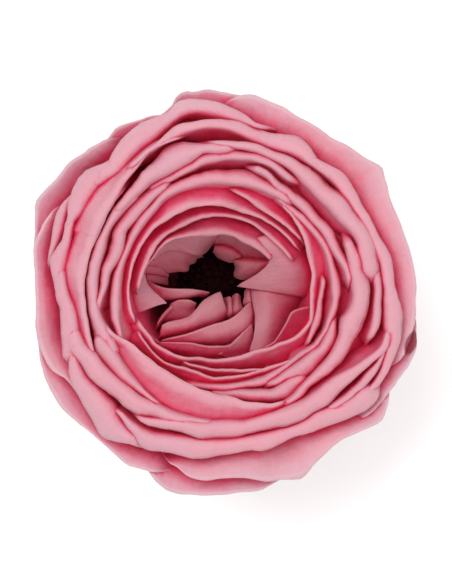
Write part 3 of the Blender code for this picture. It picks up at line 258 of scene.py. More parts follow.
# The short petals round the hollow: lines of points across each, from its free edge to where it roots
hollowPetals = {
    "rightFan": [
        [(4.6, 8.2, 35), (5.6, 6.8, 34.9), (6.35, 5.4, 34.3), (6.3, 4.3, 33.4), (5.3, 3.2, 32.2),
         (3.8, 2.2, 31.2), (2.3, 1.35, 30.5), (1.7, 0.85, 30)],
        [(6, 8.6, 35.2), (7.4, 7, 35.2), (8.3, 5.6, 34.8), (8.6, 4.2, 34.2), (8.2, 3, 33.4), (7, 1.9, 32.5),
         (5.2, 1.1, 31.6), (3.2, 0.65, 30.8)],
        [(7.4, 9.2, 34.6), (9.4, 7.6, 34.4), (10.9, 6, 34), (11.9, 4.2, 33.5), (12.3, 2.6, 32.9),
         (12.2, 1.2, 32.2), (11.8, 0.2, 31.8), (11, -0.6, 31.2)]],
    "rightFanLow": [
        [(3.8, 0.45, 29.8), (4.1, -1.2, 30.4), (4.3, -3.2, 31.2), (4.3, -5.2, 31.8), (4.2, -6.8, 32.1),
         (3.5, -9, 32.2)],
        [(6.2, 0.3, 31), (6.6, -1.6, 31.4), (6.6, -4, 31.8), (6.3, -6.2, 32.2), (5.5, -9, 32.4)],
        [(11.2, -0.6, 29.6), (10.3, -2.4, 29.2), (9.6, -4.4, 29.4), (8.8, -6.2, 30), (7.7, -8.6, 30.8)]],
    "rightTongue": [
        [(12.7, -2.2, 33.4), (11.2, -2.5, 33.2), (9.9, -3, 33), (9.2, -4.3, 33), (8.4, -5.8, 33.1),
         (7.4, -7.4, 33.2), (5.9, -8.4, 33.2)],
        [(12.9, -2.8, 32.6), (11.7, -3.3, 32.4), (10.7, -3.9, 32.2), (9.9, -5.2, 32.2), (9, -6.6, 32.4),
         (7.8, -8, 32.6), (6.2, -9, 32.7)],
        [(13.2, -3.6, 31.4), (12.6, -4.6, 31), (12, -5.6, 30.8), (11, -6.8, 31), (9.8, -8, 31.4),
         (8.4, -9.2, 31.6), (6.8, -10, 31.6)]],
    "frontFold": [
        [(3.9, -1.3, 30), (2.9, -2.1, 30.8), (1.9, -3, 31.3), (0.6, -3.8, 31.7), (-0.6, -4.4, 31.9),
         (-2, -4.95, 32.1), (-4, -5.6, 32.3), (-6, -6.35, 32.4), (-8, -6.9, 32.4), (-9.8, -7.4, 32.2)],
        [(4.2, -3.4, 30.4), (3.2, -4.6, 31.2), (1.4, -5.6, 31.5), (-1, -6.6, 31.6), (-4, -7.2, 31.6),
         (-7, -7.6, 31.5), (-9.9, -7.9, 31.3)],
        [(4.3, -5.2, 29.8), (3.4, -6.2, 29.8), (1.8, -7.6, 29.8), (-0.5, -8.2, 29.8), (-4, -8.2, 29.8),
         (-7.2, -8.3, 29.8), (-10, -8.3, 30)]],
    "frontFoldLow": [
        [(4, -4.9, 31.2), (3.4, -5.6, 31.6), (2.3, -6.5, 32), (1.2, -7.5, 32.3), (0.2, -8.5, 32.4),
         (-1.2, -9.5, 32.2)],
        [(4.1, -6, 31), (3.6, -7, 31.2), (2.8, -8, 31.4), (1.8, -8.9, 31.4), (0.2, -10, 31.2)],
        [(4.2, -7.4, 30.2), (4, -8.6, 30.2), (3.2, -9.6, 30.2), (1.6, -10.8, 30.2)]],
    "frontStrip": [
        [(-10, -7.5, 32.3), (-8, -7.5, 32.4), (-6, -7.55, 32.5), (-4, -7.8, 32.6), (-2, -8, 32.6),
         (0, -8.1, 32.4), (1, -7.9, 32)],
        [(-10.2, -8, 32), (-8, -8.5, 32), (-6, -8.75, 32), (-4, -9, 32), (-2, -9.2, 32), (0, -9.2, 31.8),
         (1.2, -8.8, 31.5)],
        [(-10.6, -8.4, 30.4), (-8.3, -9.1, 30.4), (-6.1, -9.6, 30.4), (-4, -9.9, 30.4), (-2, -10.1, 30.4),
         (0, -10, 30.4), (1.4, -9.6, 30.4)]],
    "frontTongue": [
        [(-0.8, 0, 30.4), (-1.5, -0.2, 30.6), (-2.5, -0.7, 30.9), (-3.6, -1.4, 31.2), (-4.5, -2.6, 31.4),
         (-5.6, -3.7, 31.5), (-7, -4.2, 31.6), (-8.8, -4.55, 31.8), (-9.7, -5, 32)],
        [(-0.5, -0.9, 30.8), (-1.2, -1.5, 31.1), (-2.2, -2.3, 31.4), (-3.4, -3.2, 31.6), (-4.4, -4.1, 31.7),
         (-5.6, -4.8, 31.8), (-7.2, -5.2, 31.8), (-8.8, -5.5, 31.9), (-9.9, -5.8, 31.9)],
        [(0.1, -2.9, 30.2), (-0.6, -3.9, 30.3), (-1.8, -4.7, 30.4), (-3.2, -5.2, 30.4), (-4.6, -5.8, 30.4),
         (-6, -6.1, 30.6), (-7.6, -6.3, 30.8), (-9, -6.5, 31), (-10, -6.7, 31.2)]],
    "smallFoldA": [
        [(-0.3, -1, 29), (0.5, -0.75, 29.6), (1, -1.2, 29)],
        [(0, -2, 29.6), (0.6, -1.9, 30.2), (1.1, -2.2, 29.6)],
        [(0.2, -3.4, 30), (0.7, -3.4, 30.4), (1.2, -3.2, 30)]],
    "smallFoldB": [
        [(1, -0.6, 28.4), (1.6, -0.25, 29), (2, -0.6, 28.4)],
        [(1, -1.6, 29.2), (1.6, -1.4, 29.8), (2.2, -1.7, 29.2)],
        [(0.8, -3, 29.8), (1.6, -3, 30.2), (2.6, -2.6, 29.8)]],
    "smallFoldC": [
        [(2.9, 0.1, 28.8), (3.3, 0.55, 29.4), (3.8, 0.3, 29.4)],
        [(2.9, -0.7, 29.2), (3.4, -0.5, 29.9), (4, -0.7, 29.6)],
        [(2.7, -1.8, 29.6), (3.5, -1.7, 30), (4.4, -1.8, 29.8)]],
    "leftStreak": [
        [(-12, 1.8, 31.2), (-10.6, 1.1, 31.2), (-9.4, 0.65, 31.1), (-7.4, 0.5, 30.9), (-5.2, 0.45, 30.4),
         (-3.6, 0.2, 29.8), (-2.4, -0.1, 29.4)],
        [(-11.8, 0.8, 30.9), (-10, 0.3, 30.9), (-8.4, 0, 30.8), (-6.6, -0.1, 30.6), (-5, -0.2, 30.2),
         (-3.8, -0.2, 29.6), (-2.8, -0.4, 29.2)],
        [(-11.4, -0.6, 30), (-9.6, -0.8, 30), (-7.8, -0.9, 30), (-6.2, -0.8, 29.8), (-5, -0.6, 29.4),
         (-4.2, -0.5, 29), (-3.2, -0.6, 28.6)]],
    "leftFoldLow": [
        [(-8.5, -1.9, 30.2), (-7.6, -1.35, 30.5), (-6.4, -1.15, 30.5), (-5.2, -1.2, 30.3),
         (-4.4, -1.6, 29.9)],
        [(-9, -3.2, 30.2), (-7.8, -2.6, 30), (-6.6, -2.5, 29.8), (-5.4, -2.7, 29.6), (-4.8, -3, 29.4)],
        [(-9.8, -4.4, 30), (-8.6, -4.2, 29.6), (-7.4, -4.2, 29.4), (-6.2, -4.2, 29.4), (-5.4, -4.2, 29.4)]],
    "leftThinFold": [
        [(-8.1, -2, 31), (-8.9, -2.6, 31.2), (-9.7, -3.6, 31.4), (-10.3, -4.7, 31.4)],
        [(-8.4, -2.6, 30.9), (-9.1, -3.3, 31), (-9.9, -4.3, 31.1), (-10.4, -5.2, 31)],
        [(-8.9, -3.4, 29.8), (-9.5, -4.2, 29.8), (-10.1, -5, 29.8), (-10.6, -5.8, 29.8)]],
    "leftCurl": [
        [(-12.3, 3, 33.8), (-11.9, 1.3, 33.4), (-11.1, 0.2, 33.1), (-10, -0.7, 32.8), (-8.8, -1.7, 32.4)],
        [(-12.9, 2.8, 34.2), (-12.6, 1, 33.9), (-11.9, -0.4, 33.6), (-10.8, -1.4, 33.1), (-9.9, -1.9, 32.8)],
        [(-13.6, 2.6, 34.2), (-13.7, 0.4, 34.2), (-13.6, -1.2, 33.8), (-13.3, -2.4, 33.4),
         (-12.9, -3, 33.2)]],
    "lowLeftWall": [
        [(-11.9, -5, 31.2), (-11.1, -6.5, 31.6), (-9.9, -7.5, 31.9)],
        [(-12.6, -5.6, 31), (-11.8, -7.2, 31.2), (-10.5, -8.4, 31.4)],
        [(-13.4, -6, 30.4), (-12.6, -7.9, 30.4), (-11.2, -9.4, 30.4)]],
    "leftPocketHigh": [
        [(-12.2, 2.9, 30.6), (-10.4, 2.7, 29.6), (-8.8, 2.3, 28.2)],
        [(-12.2, 3.5, 30.9), (-10.4, 3.2, 29.9), (-8.8, 2.9, 28.4)],
        [(-12.4, 4.1, 31), (-10.6, 3.9, 30), (-8.9, 3.3, 28.4)]],
    "leftPocketLow": [
        [(-12, 1.6, 30.4), (-10.3, 1.3, 29.2), (-8.9, 1.0, 27.8)],
        [(-12, 2.2, 30.4), (-10.3, 2, 29.2), (-8.9, 1.7, 27.8)],
        [(-12.1, 2.8, 30.2), (-10.4, 2.6, 29), (-8.9, 2.3, 27.8)]],
    "backWallLow": [
        [(-8.9, 2.9, 28.6), (-7.4, 3.1, 28.2), (-5.9, 3.2, 27.8), (-5.7, 4.2, 27.6), (-4.8, 4.6, 27.4),
         (-4.5, 5.2, 27.4), (-3.5, 5.5, 27.2)],
        [(-10.4, 3.8, 29.8), (-8.4, 4.4, 29.6), (-7, 4.7, 29.4), (-5.8, 5.2, 29), (-4.2, 6, 28.8)],
        [(-12.4, 4.2, 31), (-10.7, 6.2, 31), (-8, 7, 30.8), (-5.6, 6.8, 30.2), (-3.6, 6.8, 29.4)]],
    "backWallLeft": [
        [(-11, 4.8, 31.8), (-9.2, 6, 31.6), (-7, 6.15, 31.2), (-5.2, 5.7, 30.4), (-4.2, 5.6, 29.4),
         (-3.3, 5.8, 28.4), (-2.6, 6.4, 27.8), (-1.9, 7.3, 28.2), (-1.5, 8, 28.8)],
        [(-11.6, 5.2, 32.6), (-9.8, 6.8, 32.6), (-7, 7.4, 32.4), (-4.4, 7.4, 31.8), (-2.8, 7.8, 31),
         (-1.2, 8.4, 30.8)],
        [(-12.2, 5.6, 33.4), (-10.4, 7.6, 33.6), (-7.2, 8.8, 33.8), (-2.8, 9.6, 33.4), (-0.6, 9.4, 33)]],
    "backWallRight": [
        [(-1.9, 7, 27.2), (-0.4, 6.4, 27.2), (1.2, 5.4, 27.4), (3.4, 4.2, 28), (6.2, 4, 28.8)],
        [(-1.8, 7.8, 29), (1, 7.2, 29), (3.8, 6.2, 29.2), (6.6, 5, 29.8)],
        [(-1.6, 9.2, 31.2), (2.2, 9.2, 31.4), (5.6, 7.8, 31.4), (7.6, 5.8, 31.2)]],
    "backFoldLeft": [
        [(-2, 6.2, 27.8), (-1.2, 5.2, 27.4), (-0.4, 4.7, 27.4), (0.4, 4.5, 27.4), (1, 4.5, 27.6)],
        [(-1.8, 6.4, 28.4), (-0.8, 6, 28.7), (0.2, 5.7, 28.7), (1, 5.4, 28.6), (1.5, 5, 28.3)],
        [(-1.7, 6.8, 28.6), (-0.5, 6.8, 28.9), (0.7, 6.4, 28.9), (1.6, 5.9, 28.8), (2.3, 5.3, 28.6)]],
    "backFoldRight": [
        [(1.1, 4.7, 27.8), (1.5, 3.9, 27.6), (1.3, 2.5, 27.6), (2.2, 2, 28), (3.6, 2.2, 28.8),
         (5.6, 3.2, 30)],
        [(1.3, 4.9, 28.6), (2.2, 3.9, 29), (2.6, 3.2, 29.2), (3.4, 3, 29.4), (4.6, 3.2, 30),
         (6.2, 3.9, 30.6)],
        [(1.8, 4.8, 28.8), (2.8, 4.7, 29.6), (3.8, 4.6, 30), (4.8, 4.5, 30.4), (5.6, 4.5, 30.8),
         (6.6, 4.6, 31)]],
    "backThinRim": [
        [(1.8, 7.9, 33.2), (3, 7.3, 33), (4.3, 6.7, 32.9), (6.2, 5.9, 32.6)],
        [(2.1, 8.3, 33.5), (3.3, 7.8, 33.3), (4.7, 7.1, 33.2), (6.6, 6.1, 32.9)],
        [(2.6, 8.9, 33.3), (4, 8.3, 33.2), (5.3, 7.5, 33.2), (6.9, 6.4, 32.7)]],
}


# ring petals are joined into one piece for each whorl, named by the petal that starts it
whorls = {"guardPetals": "guardRight", "rollPetals": "topRoll", "bandPetals": "topLeftHood",
          "lipPetals": "rightInnerLip", "rimPetals": "topLip", "cupPetals": "rightRim"}


def dropSelection():
    if bpy.context.object and bpy.context.object.mode != "OBJECT":
        bpy.ops.object.mode_set(mode="OBJECT")
    bpy.ops.object.select_all(action="DESELECT")


def chooseOnly(piece):
    dropSelection()
    piece.select_set(True)
    bpy.context.view_layer.objects.active = piece


def applyAll(piece):
    chooseOnly(piece)
    for modifier in list(piece.modifiers):
        bpy.ops.object.modifier_apply(modifier=modifier.name)


def joinAs(name, pieces):
    dropSelection()
    for piece in pieces:
        piece.select_set(True)
    bpy.context.view_layer.objects.active = pieces[0]
    if len(pieces) > 1:
        bpy.ops.object.join()
    pieces[0].name = name
    pieces[0].data.name = name
    return pieces[0]


def claim(piece, node):
    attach(piece, "root")
    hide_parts(node)


# a smooth curve through values given at rising stations
def smoothValue(stations, values, at):
    stations = np.asarray(stations, float)
    values = np.asarray(values, float)
    at = np.clip(at, stations[0], stations[-1])
    slopes = np.gradient(values, stations)
    steps = np.diff(stations)
    chords = np.diff(values) / steps
    turning = np.flatnonzero(chords[:-1] * chords[1:] <= 0) + 1
    slopes[turning] *= 0.35
    k = np.clip(np.searchsorted(stations, at, side="right") - 1, 0, len(stations) - 2)
    t = (at - stations[k]) / steps[k]
    start = (1 + 2 * t) * (1 - t) ** 2 * values[k] + t * (1 - t) ** 2 * steps[k] * slopes[k]
    end = t * t * (3 - 2 * t) * values[k + 1] + t * t * (t - 1) * steps[k] * slopes[k + 1]
    return start + end


# a smooth curve through rows of points, read evenly at a number of rows
def throughRows(rows, count):
    rows = np.asarray(rows, float)
    chords = np.linalg.norm(np.diff(rows, axis=0), axis=2).mean(axis=1)
    knots = np.concatenate([[0], np.cumsum(np.sqrt(chords))])
    steps = np.diff(knots)
    pulls = (rows[1:] - rows[:-1]) / steps[:, None, None]
    before = steps[:-1, None, None]
    after = steps[1:, None, None]
    between = (pulls[:-1] * after + pulls[1:] * before) / (after + before)
    tangents = np.concatenate([pulls[:1], between, pulls[-1:]])
    made = []
    for at in np.linspace(0, knots[-1], count):
        k = min(max(np.searchsorted(knots, at, side="right") - 1, 0), len(rows) - 2)
        t = (at - knots[k]) / steps[k]
        made.append((1 + 2 * t) * (1 - t) ** 2 * rows[k] + t * (1 - t) ** 2 * steps[k] * tangents[k]
                    + t * t * (3 - 2 * t) * rows[k + 1] + t * t * (t - 1) * steps[k] * tangents[k + 1])
    return np.array(made)


def crownHeight(reach):
    reaches, heights = zip(*bloomShape["crown"])
    return smoothValue(reaches, heights, reach)


# moves points of the upright bloom to where its nod takes them
def leaned(points):
    bearing = math.radians(bloomShape["leanBearing"])
    toward = np.array([math.cos(bearing), math.sin(bearing)])
    points = np.array(points, float)
    along = points[..., :2] @ toward
    share = np.clip((points[..., 2] - bloomShape["crownSlopeFrom"]) / bloomShape["crownSlopeOver"], 0, 1)
    rise = np.clip(points[..., 2:] / bloomShape["leanHeight"], 0, 1)
    points[..., 2] -= bloomShape["crownSlope"] * along * share
    points[..., :2] += bloomShape["leanReach"] * rise ** 2 * (3 - 2 * rise) * toward
    return points


# how a ring petal rises from the hip, swells to its belly and ends at its rim, and how it is cut into columns
ringShape = {
    "rootReach": 4.6,
    "rootHeight": 9.5,
    "flankShare": 0.64,  # reach of the flank under the belly, as a share of the belly's
    "flankHeight": 12.9,
    "bellyHeight": 21.0,
    "bellyBase": 13.5,
    "bellyFollows": 0.42,  # how far the belly follows the rim outwards
    "guardOut": 0.8,  # the guards lie this much outside the others
    "guardStagger": 0.9,  # and the lower ones a little more
    "guardRimSink": 0.7,
    "guardSpread": (0.7, 0.8, 0.9, 0.97),  # a guard narrows toward its root
    "innerRootLift": 0.9,
    "innerFlankHeight": 14.0,
    "innerBelly": 24.0,  # the petals inside the guards keep within this reach low down
    "innerBellyTuck": 0.9,
    "innerBellyLift": 0.4,
    "cornerNarrow": 0.85,  # a rim narrows by this share over the first part of its corner
    "cornerNarrowBy": 0.65,
    "cornerPull": 0.3,
    "cornerTuck": 2.2,
    "cornerDepth": 8.0,
    "cornerRound": 0.98,
    "cornerDrop": 3.5,
    "waveSize": 0.3,
    "waveCalm": 0.7,  # calms the waves' random sizes
    "wavesRound": 3,  # waves round the whole bloom, then twice and three times as many
    "widestGap": 3.0,
    "gapOverlap": 4,  # degrees past its rim's ends that a petal counts, and that widths are smoothed over
    "steepWalls": {"rightCup": 0.25},  # petals that lean less across the bare width beside them
    "degreesPerColumn": 1.6,
    "fewestColumns": 9,
    "rowsUp": 34,
}


# a height that keeps its depth under the rim, but never less than a share of the way up from the belly
def upTheWall(rim, depth, share):
    return np.maximum(rim - depth, ringShape["bellyHeight"] + share * (rim - ringShape["bellyHeight"]))


# each form gives (reach, height) lines from the root to the free edge, leaning over the gap to its neighbour
def guardLines(inner, outer, top, belly, gap):
    width = outer - inner
    edge = top - ringShape["guardRimSink"]
    level = 0 * edge
    return [
        (level + ringShape["rootReach"], level + ringShape["rootHeight"]),
        (ringShape["flankShare"] * belly, level + ringShape["flankHeight"]),
        (belly, level + ringShape["bellyHeight"]),
        (belly - 0.4, upTheWall(edge, 9.5, 0.35)),  # up the wall
        (np.maximum(inner - 1.0 - 0.8 * gap, belly - 1.5), upTheWall(edge, 3.8, 0.65)),
        (inner - 0.1 - 0.5 * gap, upTheWall(edge, 1.6, 0.8)),  # where it starts to open
        (inner + 0.35 * width, edge - 0.7),
        (inner + 0.7 * width, edge - 0.3),
        (outer, edge - 0.1),
    ]


# the root, flank and belly of the petals that stand inside the guards
def innerStart(top, belly):
    level = 0 * top
    return [
        (level + ringShape["rootReach"], level + ringShape["rootHeight"] + ringShape["innerRootLift"]),
        (ringShape["flankShare"] * belly, level + ringShape["innerFlankHeight"]),
        (belly - ringShape["innerBellyTuck"], level + ringShape["bellyHeight"] + ringShape["innerBellyLift"]),
    ]


def lipLines(inner, outer, top, belly, gap):
    width = outer - inner
    wall = np.minimum(0.15 * belly + 0.85 * (inner - 0.5 - 0.8 * gap), belly - 0.5)
    return innerStart(top, belly) + [
        (wall, upTheWall(top, 9.0, 0.35)),
        (inner - 0.2 - 0.85 * gap, upTheWall(top, 3.4 + 0.5 * gap, 0.6)),
        (inner - 0.2 - 0.1 * gap, upTheWall(top, 2.1 + 0.1 * gap, 0.75)),  # past the gap, close to its rim
        (inner - 0.02, top - 0.75),
        (inner + 0.2 * width, top - 0.1),  # over the top
        (inner + 0.6 * width, top - 0.05 * width),
        (outer, top - 0.2 - 0.34 * width),
    ]


def hoodLines(inner, outer, top, belly, gap):
    width = outer - inner
    wall = np.minimum(0.25 * belly + 0.75 * (outer + 0.5) + 0.6 * gap, belly - 0.5)
    return innerStart(top, belly) + [
        (wall, upTheWall(top, 8.0, 0.4)),
        (outer + 0.15 + 0.85 * gap, upTheWall(top, 1.7 + 0.6 * gap, 0.7)),  # across the gap
        (outer - 0.3 * width, top - 0.6 - 0.1 * width),
        (inner + 0.3 * width, top + 0.05),  # over the top
        (inner, top - 0.1),
    ]


petalForms = {"guard": guardLines, "lip": lipLines, "hood": hoodLines}


# the bare width beside each ring petal at every whole degree: inside a lip or guard, outside a hood
def findGaps():
    degrees = np.arange(360)
    over = ringShape["gapOverlap"]
    bands = {}
    for name, (form, lift, tuck, rim) in ringPetals.items():
        bearings, inner, outer = np.array(rim, float).T
        turned = bearings[0] - over + (degrees - bearings[0] + over) % 360
        covered = turned <= bearings[-1] + over
        inner = smoothValue(bearings, inner, turned)
        outer = smoothValue(bearings, outer, turned)
        bands[name] = (np.where(covered, inner, np.nan), np.where(covered, outer, np.nan), inner, outer)
    gaps = {}
    farAway = 9.0
    for name, (ownForm, lift, tuck, rim) in ringPetals.items():
        inner, outer = bands[name][2:]
        middle = (inner + outer) / 2
        bare = np.full(360, farAway)
        for otherInner, otherOuter, _, _ in bands.values():
            otherMiddle = (otherInner + otherOuter) / 2
            if ownForm == "hood":
                found = np.where(otherMiddle > middle, otherInner - outer, np.nan)
            else:
                found = np.where(otherMiddle < middle, inner - otherOuter, np.nan)
            bare = np.fmin(bare, found)
        bare = np.clip(np.where(bare > farAway - 1, 0, bare) - 0.2, 0, ringShape["widestGap"])
        smoothed = sum(np.roll(bare, k) for k in range(-over, over + 1))
        gaps[name] = ringShape["steepWalls"].get(name, 1) * smoothed / (2 * over + 1)
    return gaps


def ringPetalPoints(seed, form, lift, tuck, rim, gaps):
    bearings, inner, outer = np.array(rim, float).T
    span = bearings[-1] - bearings[0] + 2 * tuck
    columns = max(ringShape["fewestColumns"], round(span / ringShape["degreesPerColumn"]) + 1)
    bearing = np.linspace(bearings[0] - tuck, bearings[-1] + tuck, columns)
    inner = smoothValue(bearings, inner, bearing)
    outer = smoothValue(bearings, outer, bearing)
    corner = np.clip(np.maximum(bearings[0] - bearing, bearing - bearings[-1]) / tuck, 0, 1)
    narrowed = ringShape["cornerNarrow"] * np.minimum(corner / ringShape["cornerNarrowBy"], 1)
    halfWidth = (outer - inner) / 2 * (1 - narrowed)
    middle = (inner + outer) / 2
    belly = ringShape["bellyBase"] + ringShape["bellyFollows"] * middle
    if form == "guard":
        belly = belly + ringShape["guardOut"] - ringShape["guardStagger"] * lift
    else:
        belly = np.minimum(belly, ringShape["innerBelly"])
    belly = belly - ringShape["cornerPull"] * corner - ringShape["cornerTuck"] * corner ** 3
    rounded = 1 - np.sqrt(1 - ringShape["cornerRound"] * corner ** 2)
    sink = ringShape["cornerDepth"] * rounded + ringShape["cornerDrop"] * corner
    top = crownHeight(outer if form == "guard" else middle) + lift - sink
    draw = np.random.default_rng(seed)
    for k in (1, 2, 3):
        size = ringShape["waveSize"] * draw.normal() * ringShape["waveCalm"] / k
        start = draw.uniform(0, math.tau)
        top = top + size * np.sin(np.radians(bearing) * k * ringShape["wavesRound"] + start)
    if form == "guard":
        middle = middle + (belly - middle) * corner ** 2
    gap = np.interp(bearing % 360, np.arange(361), np.append(gaps, gaps[0]))
    lines = petalForms[form](middle - halfWidth, middle + halfWidth, top, belly, gap)
    spread = np.ones(len(lines))
    if form == "guard":
        spread[:len(ringShape["guardSpread"])] = ringShape["guardSpread"]
    rows = []
    for (reach, height), share in zip(lines, spread):
        turn = np.radians(bearing.mean() + share * (bearing - bearing.mean()))
        rows.append(np.stack([reach * np.cos(turn), reach * np.sin(turn), height + 0 * turn], 1))
    return ruffled(throughRows(rows, ringShape["rowsUp"]), seed)


# the petals' unevenness: sizes in millimetres, scales in waves to a millimetre
ruffles = {
    "swell": 0.12,
    "swellUp": 0.15,
    "swellScale": 0.22,
    "rim": 0.26,
    "rimUp": 1.2,  # a ruffle goes up and down more than in and out
    "rimScale": 0.3,
    "rimFrom": 4,  # the higher, the closer to the free edge it stays
    "flutter": 0.09,
    "flutterScale": 0.9,
    "crease": 0.4,
    "creaseScale": 0.14,
    "creaseMean": 0.25,
    "seedSteps": (3.7, 1.3, 0),
    "creaseSeedStep": 5.1,
}


# lifts and shifts a petal's skin a little, most at its free edge
def ruffled(points, seed):
    rows, columns = points.shape[:2]
    shift = Vector([step * seed for step in ruffles["seedSteps"]])
    along = np.linalg.norm(np.diff(points[-1], axis=0), axis=1)
    along = np.concatenate([[0], np.cumsum(along)])
    creaseRow = ruffles["creaseSeedStep"] * seed
    creases = [abs(noise.noise(Vector((ruffles["creaseScale"] * at, creaseRow, 0)))) for at in along]
    for j in range(rows):
        up = j / (rows - 1)
        edgeShare = up ** ruffles["rimFrom"]
        for i in range(columns):
            place = Vector(points[j, i])
            swell = noise.noise(place * ruffles["swellScale"] + shift)
            ruffle = ruffles["rim"] * noise.noise(place * ruffles["rimScale"] - shift)
            flutter = ruffles["flutter"] * noise.noise(place * ruffles["flutterScale"] - shift)
            reach = math.hypot(place.x, place.y) + 0.01
            crease = ruffles["crease"] * (creases[i] - ruffles["creaseMean"]) * up ** 2
            grow = ruffles["swell"] * swell + edgeShare * (ruffle + flutter) + crease
            points[j, i, 0] += grow * place.x / reach
            points[j, i, 1] += grow * place.y / reach
            edgeLift = edgeShare * (flutter + ruffles["rimUp"] * ruffle)
            points[j, i, 2] += ruffles["swellUp"] * swell + edgeLift + crease
    return points


hollowShape = {
    "columns": 30,
    "rowsUp": 22,
    "rootOut": 1.2,  # a short petal's root lies this much further out and lower than its last line
    "rootDown": 4.0,
}


def hollowPetalPoints(lines, seed):
    count = hollowShape["columns"]
    rows = [throughRows(np.array(line, float)[:, None, :], count)[:, 0, :] for line in lines]
    root = rows[-1].copy()
    reach = np.hypot(root[:, 0], root[:, 1])[:, None]
    root[:, :2] *= (reach + hollowShape["rootOut"]) / reach
    root[:, 2] -= hollowShape["rootDown"]
    return ruffled(throughRows([root] + rows[::-1], hollowShape["rowsUp"]), seed)


# one leaf or petal: a grid laid over its points, then given its thickness in millimetres
def addBlade(name, points, thickness):
    rows, columns = points.shape[:2]
    dropSelection()
    bpy.ops.mesh.primitive_grid_add(x_subdivisions=columns - 1, y_subdivisions=rows - 1, size=1)
    blade = bpy.context.object
    blade.name = name
    blade.data.vertices.foreach_set("co", points.reshape(-1))
    blade.data.update()
    bpy.ops.object.shade_smooth()
    wall = blade.modifiers.new("thickness", "SOLIDIFY")
    wall.thickness = thickness * mm
    wall.offset = 0
    applyAll(blade)
    return blade


def addPetal(name, points):
    return addBlade(name, leaned(points) * mm, bloomShape["petalThickness"])


def makeBloom(material):
    groups = {}
    group = None
    starts = {first: name for name, first in whorls.items()}
    gaps = findGaps()
    for seed, (name, (form, lift, tuck, rim)) in enumerate(ringPetals.items()):
        group = starts.get(name, group)
        points = ringPetalPoints(seed, form, lift, tuck, rim, gaps[name])
        groups.setdefault(group, []).append(addPetal(name, points))
    for seed, (name, lines) in enumerate(hollowPetals.items()):
        groups.setdefault("hollowPetals", []).append(addPetal(name, hollowPetalPoints(lines, 100 + seed)))
    made = [joinAs(name, petals) for name, petals in groups.items()]
    made.append(makeBases())
    for piece in made:
        piece.data.materials.clear()
        piece.data.materials.append(material)
        claim(piece, "bloom")
    return made


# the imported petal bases, which close the gaps deep between the petals; the well is their last stations
bases = {
    "outline": [(0.0, 9.8), (5.0, 10.0), (10.0, 10.8), (14.2, 13.1), (18.8, 16.9), (21.8, 20.8), (22.8, 25.0),
                (22.9, 30.0), (22.6, 34.4), (21.6, 36.2), (19.8, 37.0), (17.0, 36.4), (14.6, 35.0)],
    "well": [(12.8, 31.6), (11.4, 28.0), (10.0, 24.6), (8.0, 21.6), (6.4, 20.2), (0.0, 20.2)],
    "sides": 96,
    "wellShift": 1.9,
    "wellTop": 41.6,
    "wellFloor": 20.2,
}


# moves points of the well, whose floor lies back from the middle of the head
def inWell(points):
    points = np.array(points, float)
    bearing = math.radians(bloomShape["leanBearing"])
    toward = np.array([math.cos(bearing), math.sin(bearing)])
    depth = (bases["wellTop"] - points[..., 2:]) / (bases["wellTop"] - bases["wellFloor"])
    moved = leaned(points)
    moved[..., :2] -= bases["wellShift"] * np.clip(depth, 0, 1) ** 2 * toward
    return moved


# a skin turned round the stem through rings of placed points
def addTurned(name, rings):
    rings = np.array(rings)
    rows, columns = rings.shape[:2]
    dropSelection()
    bpy.ops.mesh.primitive_grid_add(x_subdivisions=columns - 1, y_subdivisions=rows - 1, size=1)
    piece = bpy.context.object
    piece.name = name
    piece.data.vertices.foreach_set("co", (rings * mm).reshape(-1))
    bpy.ops.object.mode_set(mode="EDIT")
    bpy.ops.mesh.select_all(action="SELECT")
    bpy.ops.mesh.remove_doubles(threshold=0.001 * mm)
    bpy.ops.mesh.normals_make_consistent(inside=False)
    bpy.ops.object.mode_set(mode="OBJECT")
    bpy.ops.object.shade_smooth()
    return piece


def turnedRing(reach, height, sides):
    turns = np.linspace(0, math.tau, sides + 1)
    turns[-1] = 0
    return np.stack([reach * np.cos(turns), reach * np.sin(turns), height + 0 * turns], 1)


def makeBases():
    rings = [leaned(turnedRing(reach, height, bases["sides"])) for reach, height in bases["outline"]]
    rings += [inWell(turnedRing(reach, height, bases["sides"])) for reach, height in bases["well"]]
    return addTurned("petalBases", rings)


# the stamens at the foot of the well: dark filaments, each with a two-lobed anther, on a low disc
stamens = {
    "count": 110,
    "seed": 5,
    "overFloor": 0.3,
    "discReach": 5.5,
    # share of the disc's reach, height
    "disc": [(0.0, 0.0), (1.0, 0.0), (1.0, 0.5), (0.9, 0.8), (0.5, 1.2), (0.0, 1.3)],
    "discSides": 32,
    "filament": (0.13, 0.09),  # radius at the foot and under the anther
    "lengths": (3.2, 5.6),
    "shorterOutward": 0.3,
    "anther": (0.42, 0.26, 0.62),
    "lobeAside": 0.14,
    "lobeUp": 1.05,
    "edge": 0.3,  # how far the last filament stands inside the disc's edge
    "footUp": 0.5,
    "splay": 0.09,
    "turnUnrest": 0.2,
    "tiltUnrest": 0.12,
}


def makeStamenModel():
    dropSelection()
    foot, neck = stamens["filament"]
    bpy.ops.mesh.primitive_cone_add(vertices=6, radius1=foot * mm, radius2=neck * mm, depth=1 * mm)
    filament = bpy.context.object
    filament.data.transform(Matrix.Translation((0, 0, 0.5 * mm)))
    lobes = []
    for side in (-1, 1):
        bpy.ops.mesh.primitive_uv_sphere_add(segments=8, ring_count=6, radius=0.5 * mm)
        lobe = bpy.context.object
        wide, deep, tall = stamens["anther"]
        lobe.data.transform(Matrix.Diagonal((wide, deep * 2, tall * 2, 1)))
        lobe.data.transform(Matrix.Translation((side * stamens["lobeAside"] * mm, 0, stamens["lobeUp"] * mm)))
        lobes.append(lobe)
    model = joinAs("stamenModel", [filament] + lobes)
    bpy.ops.object.shade_smooth()
    return model


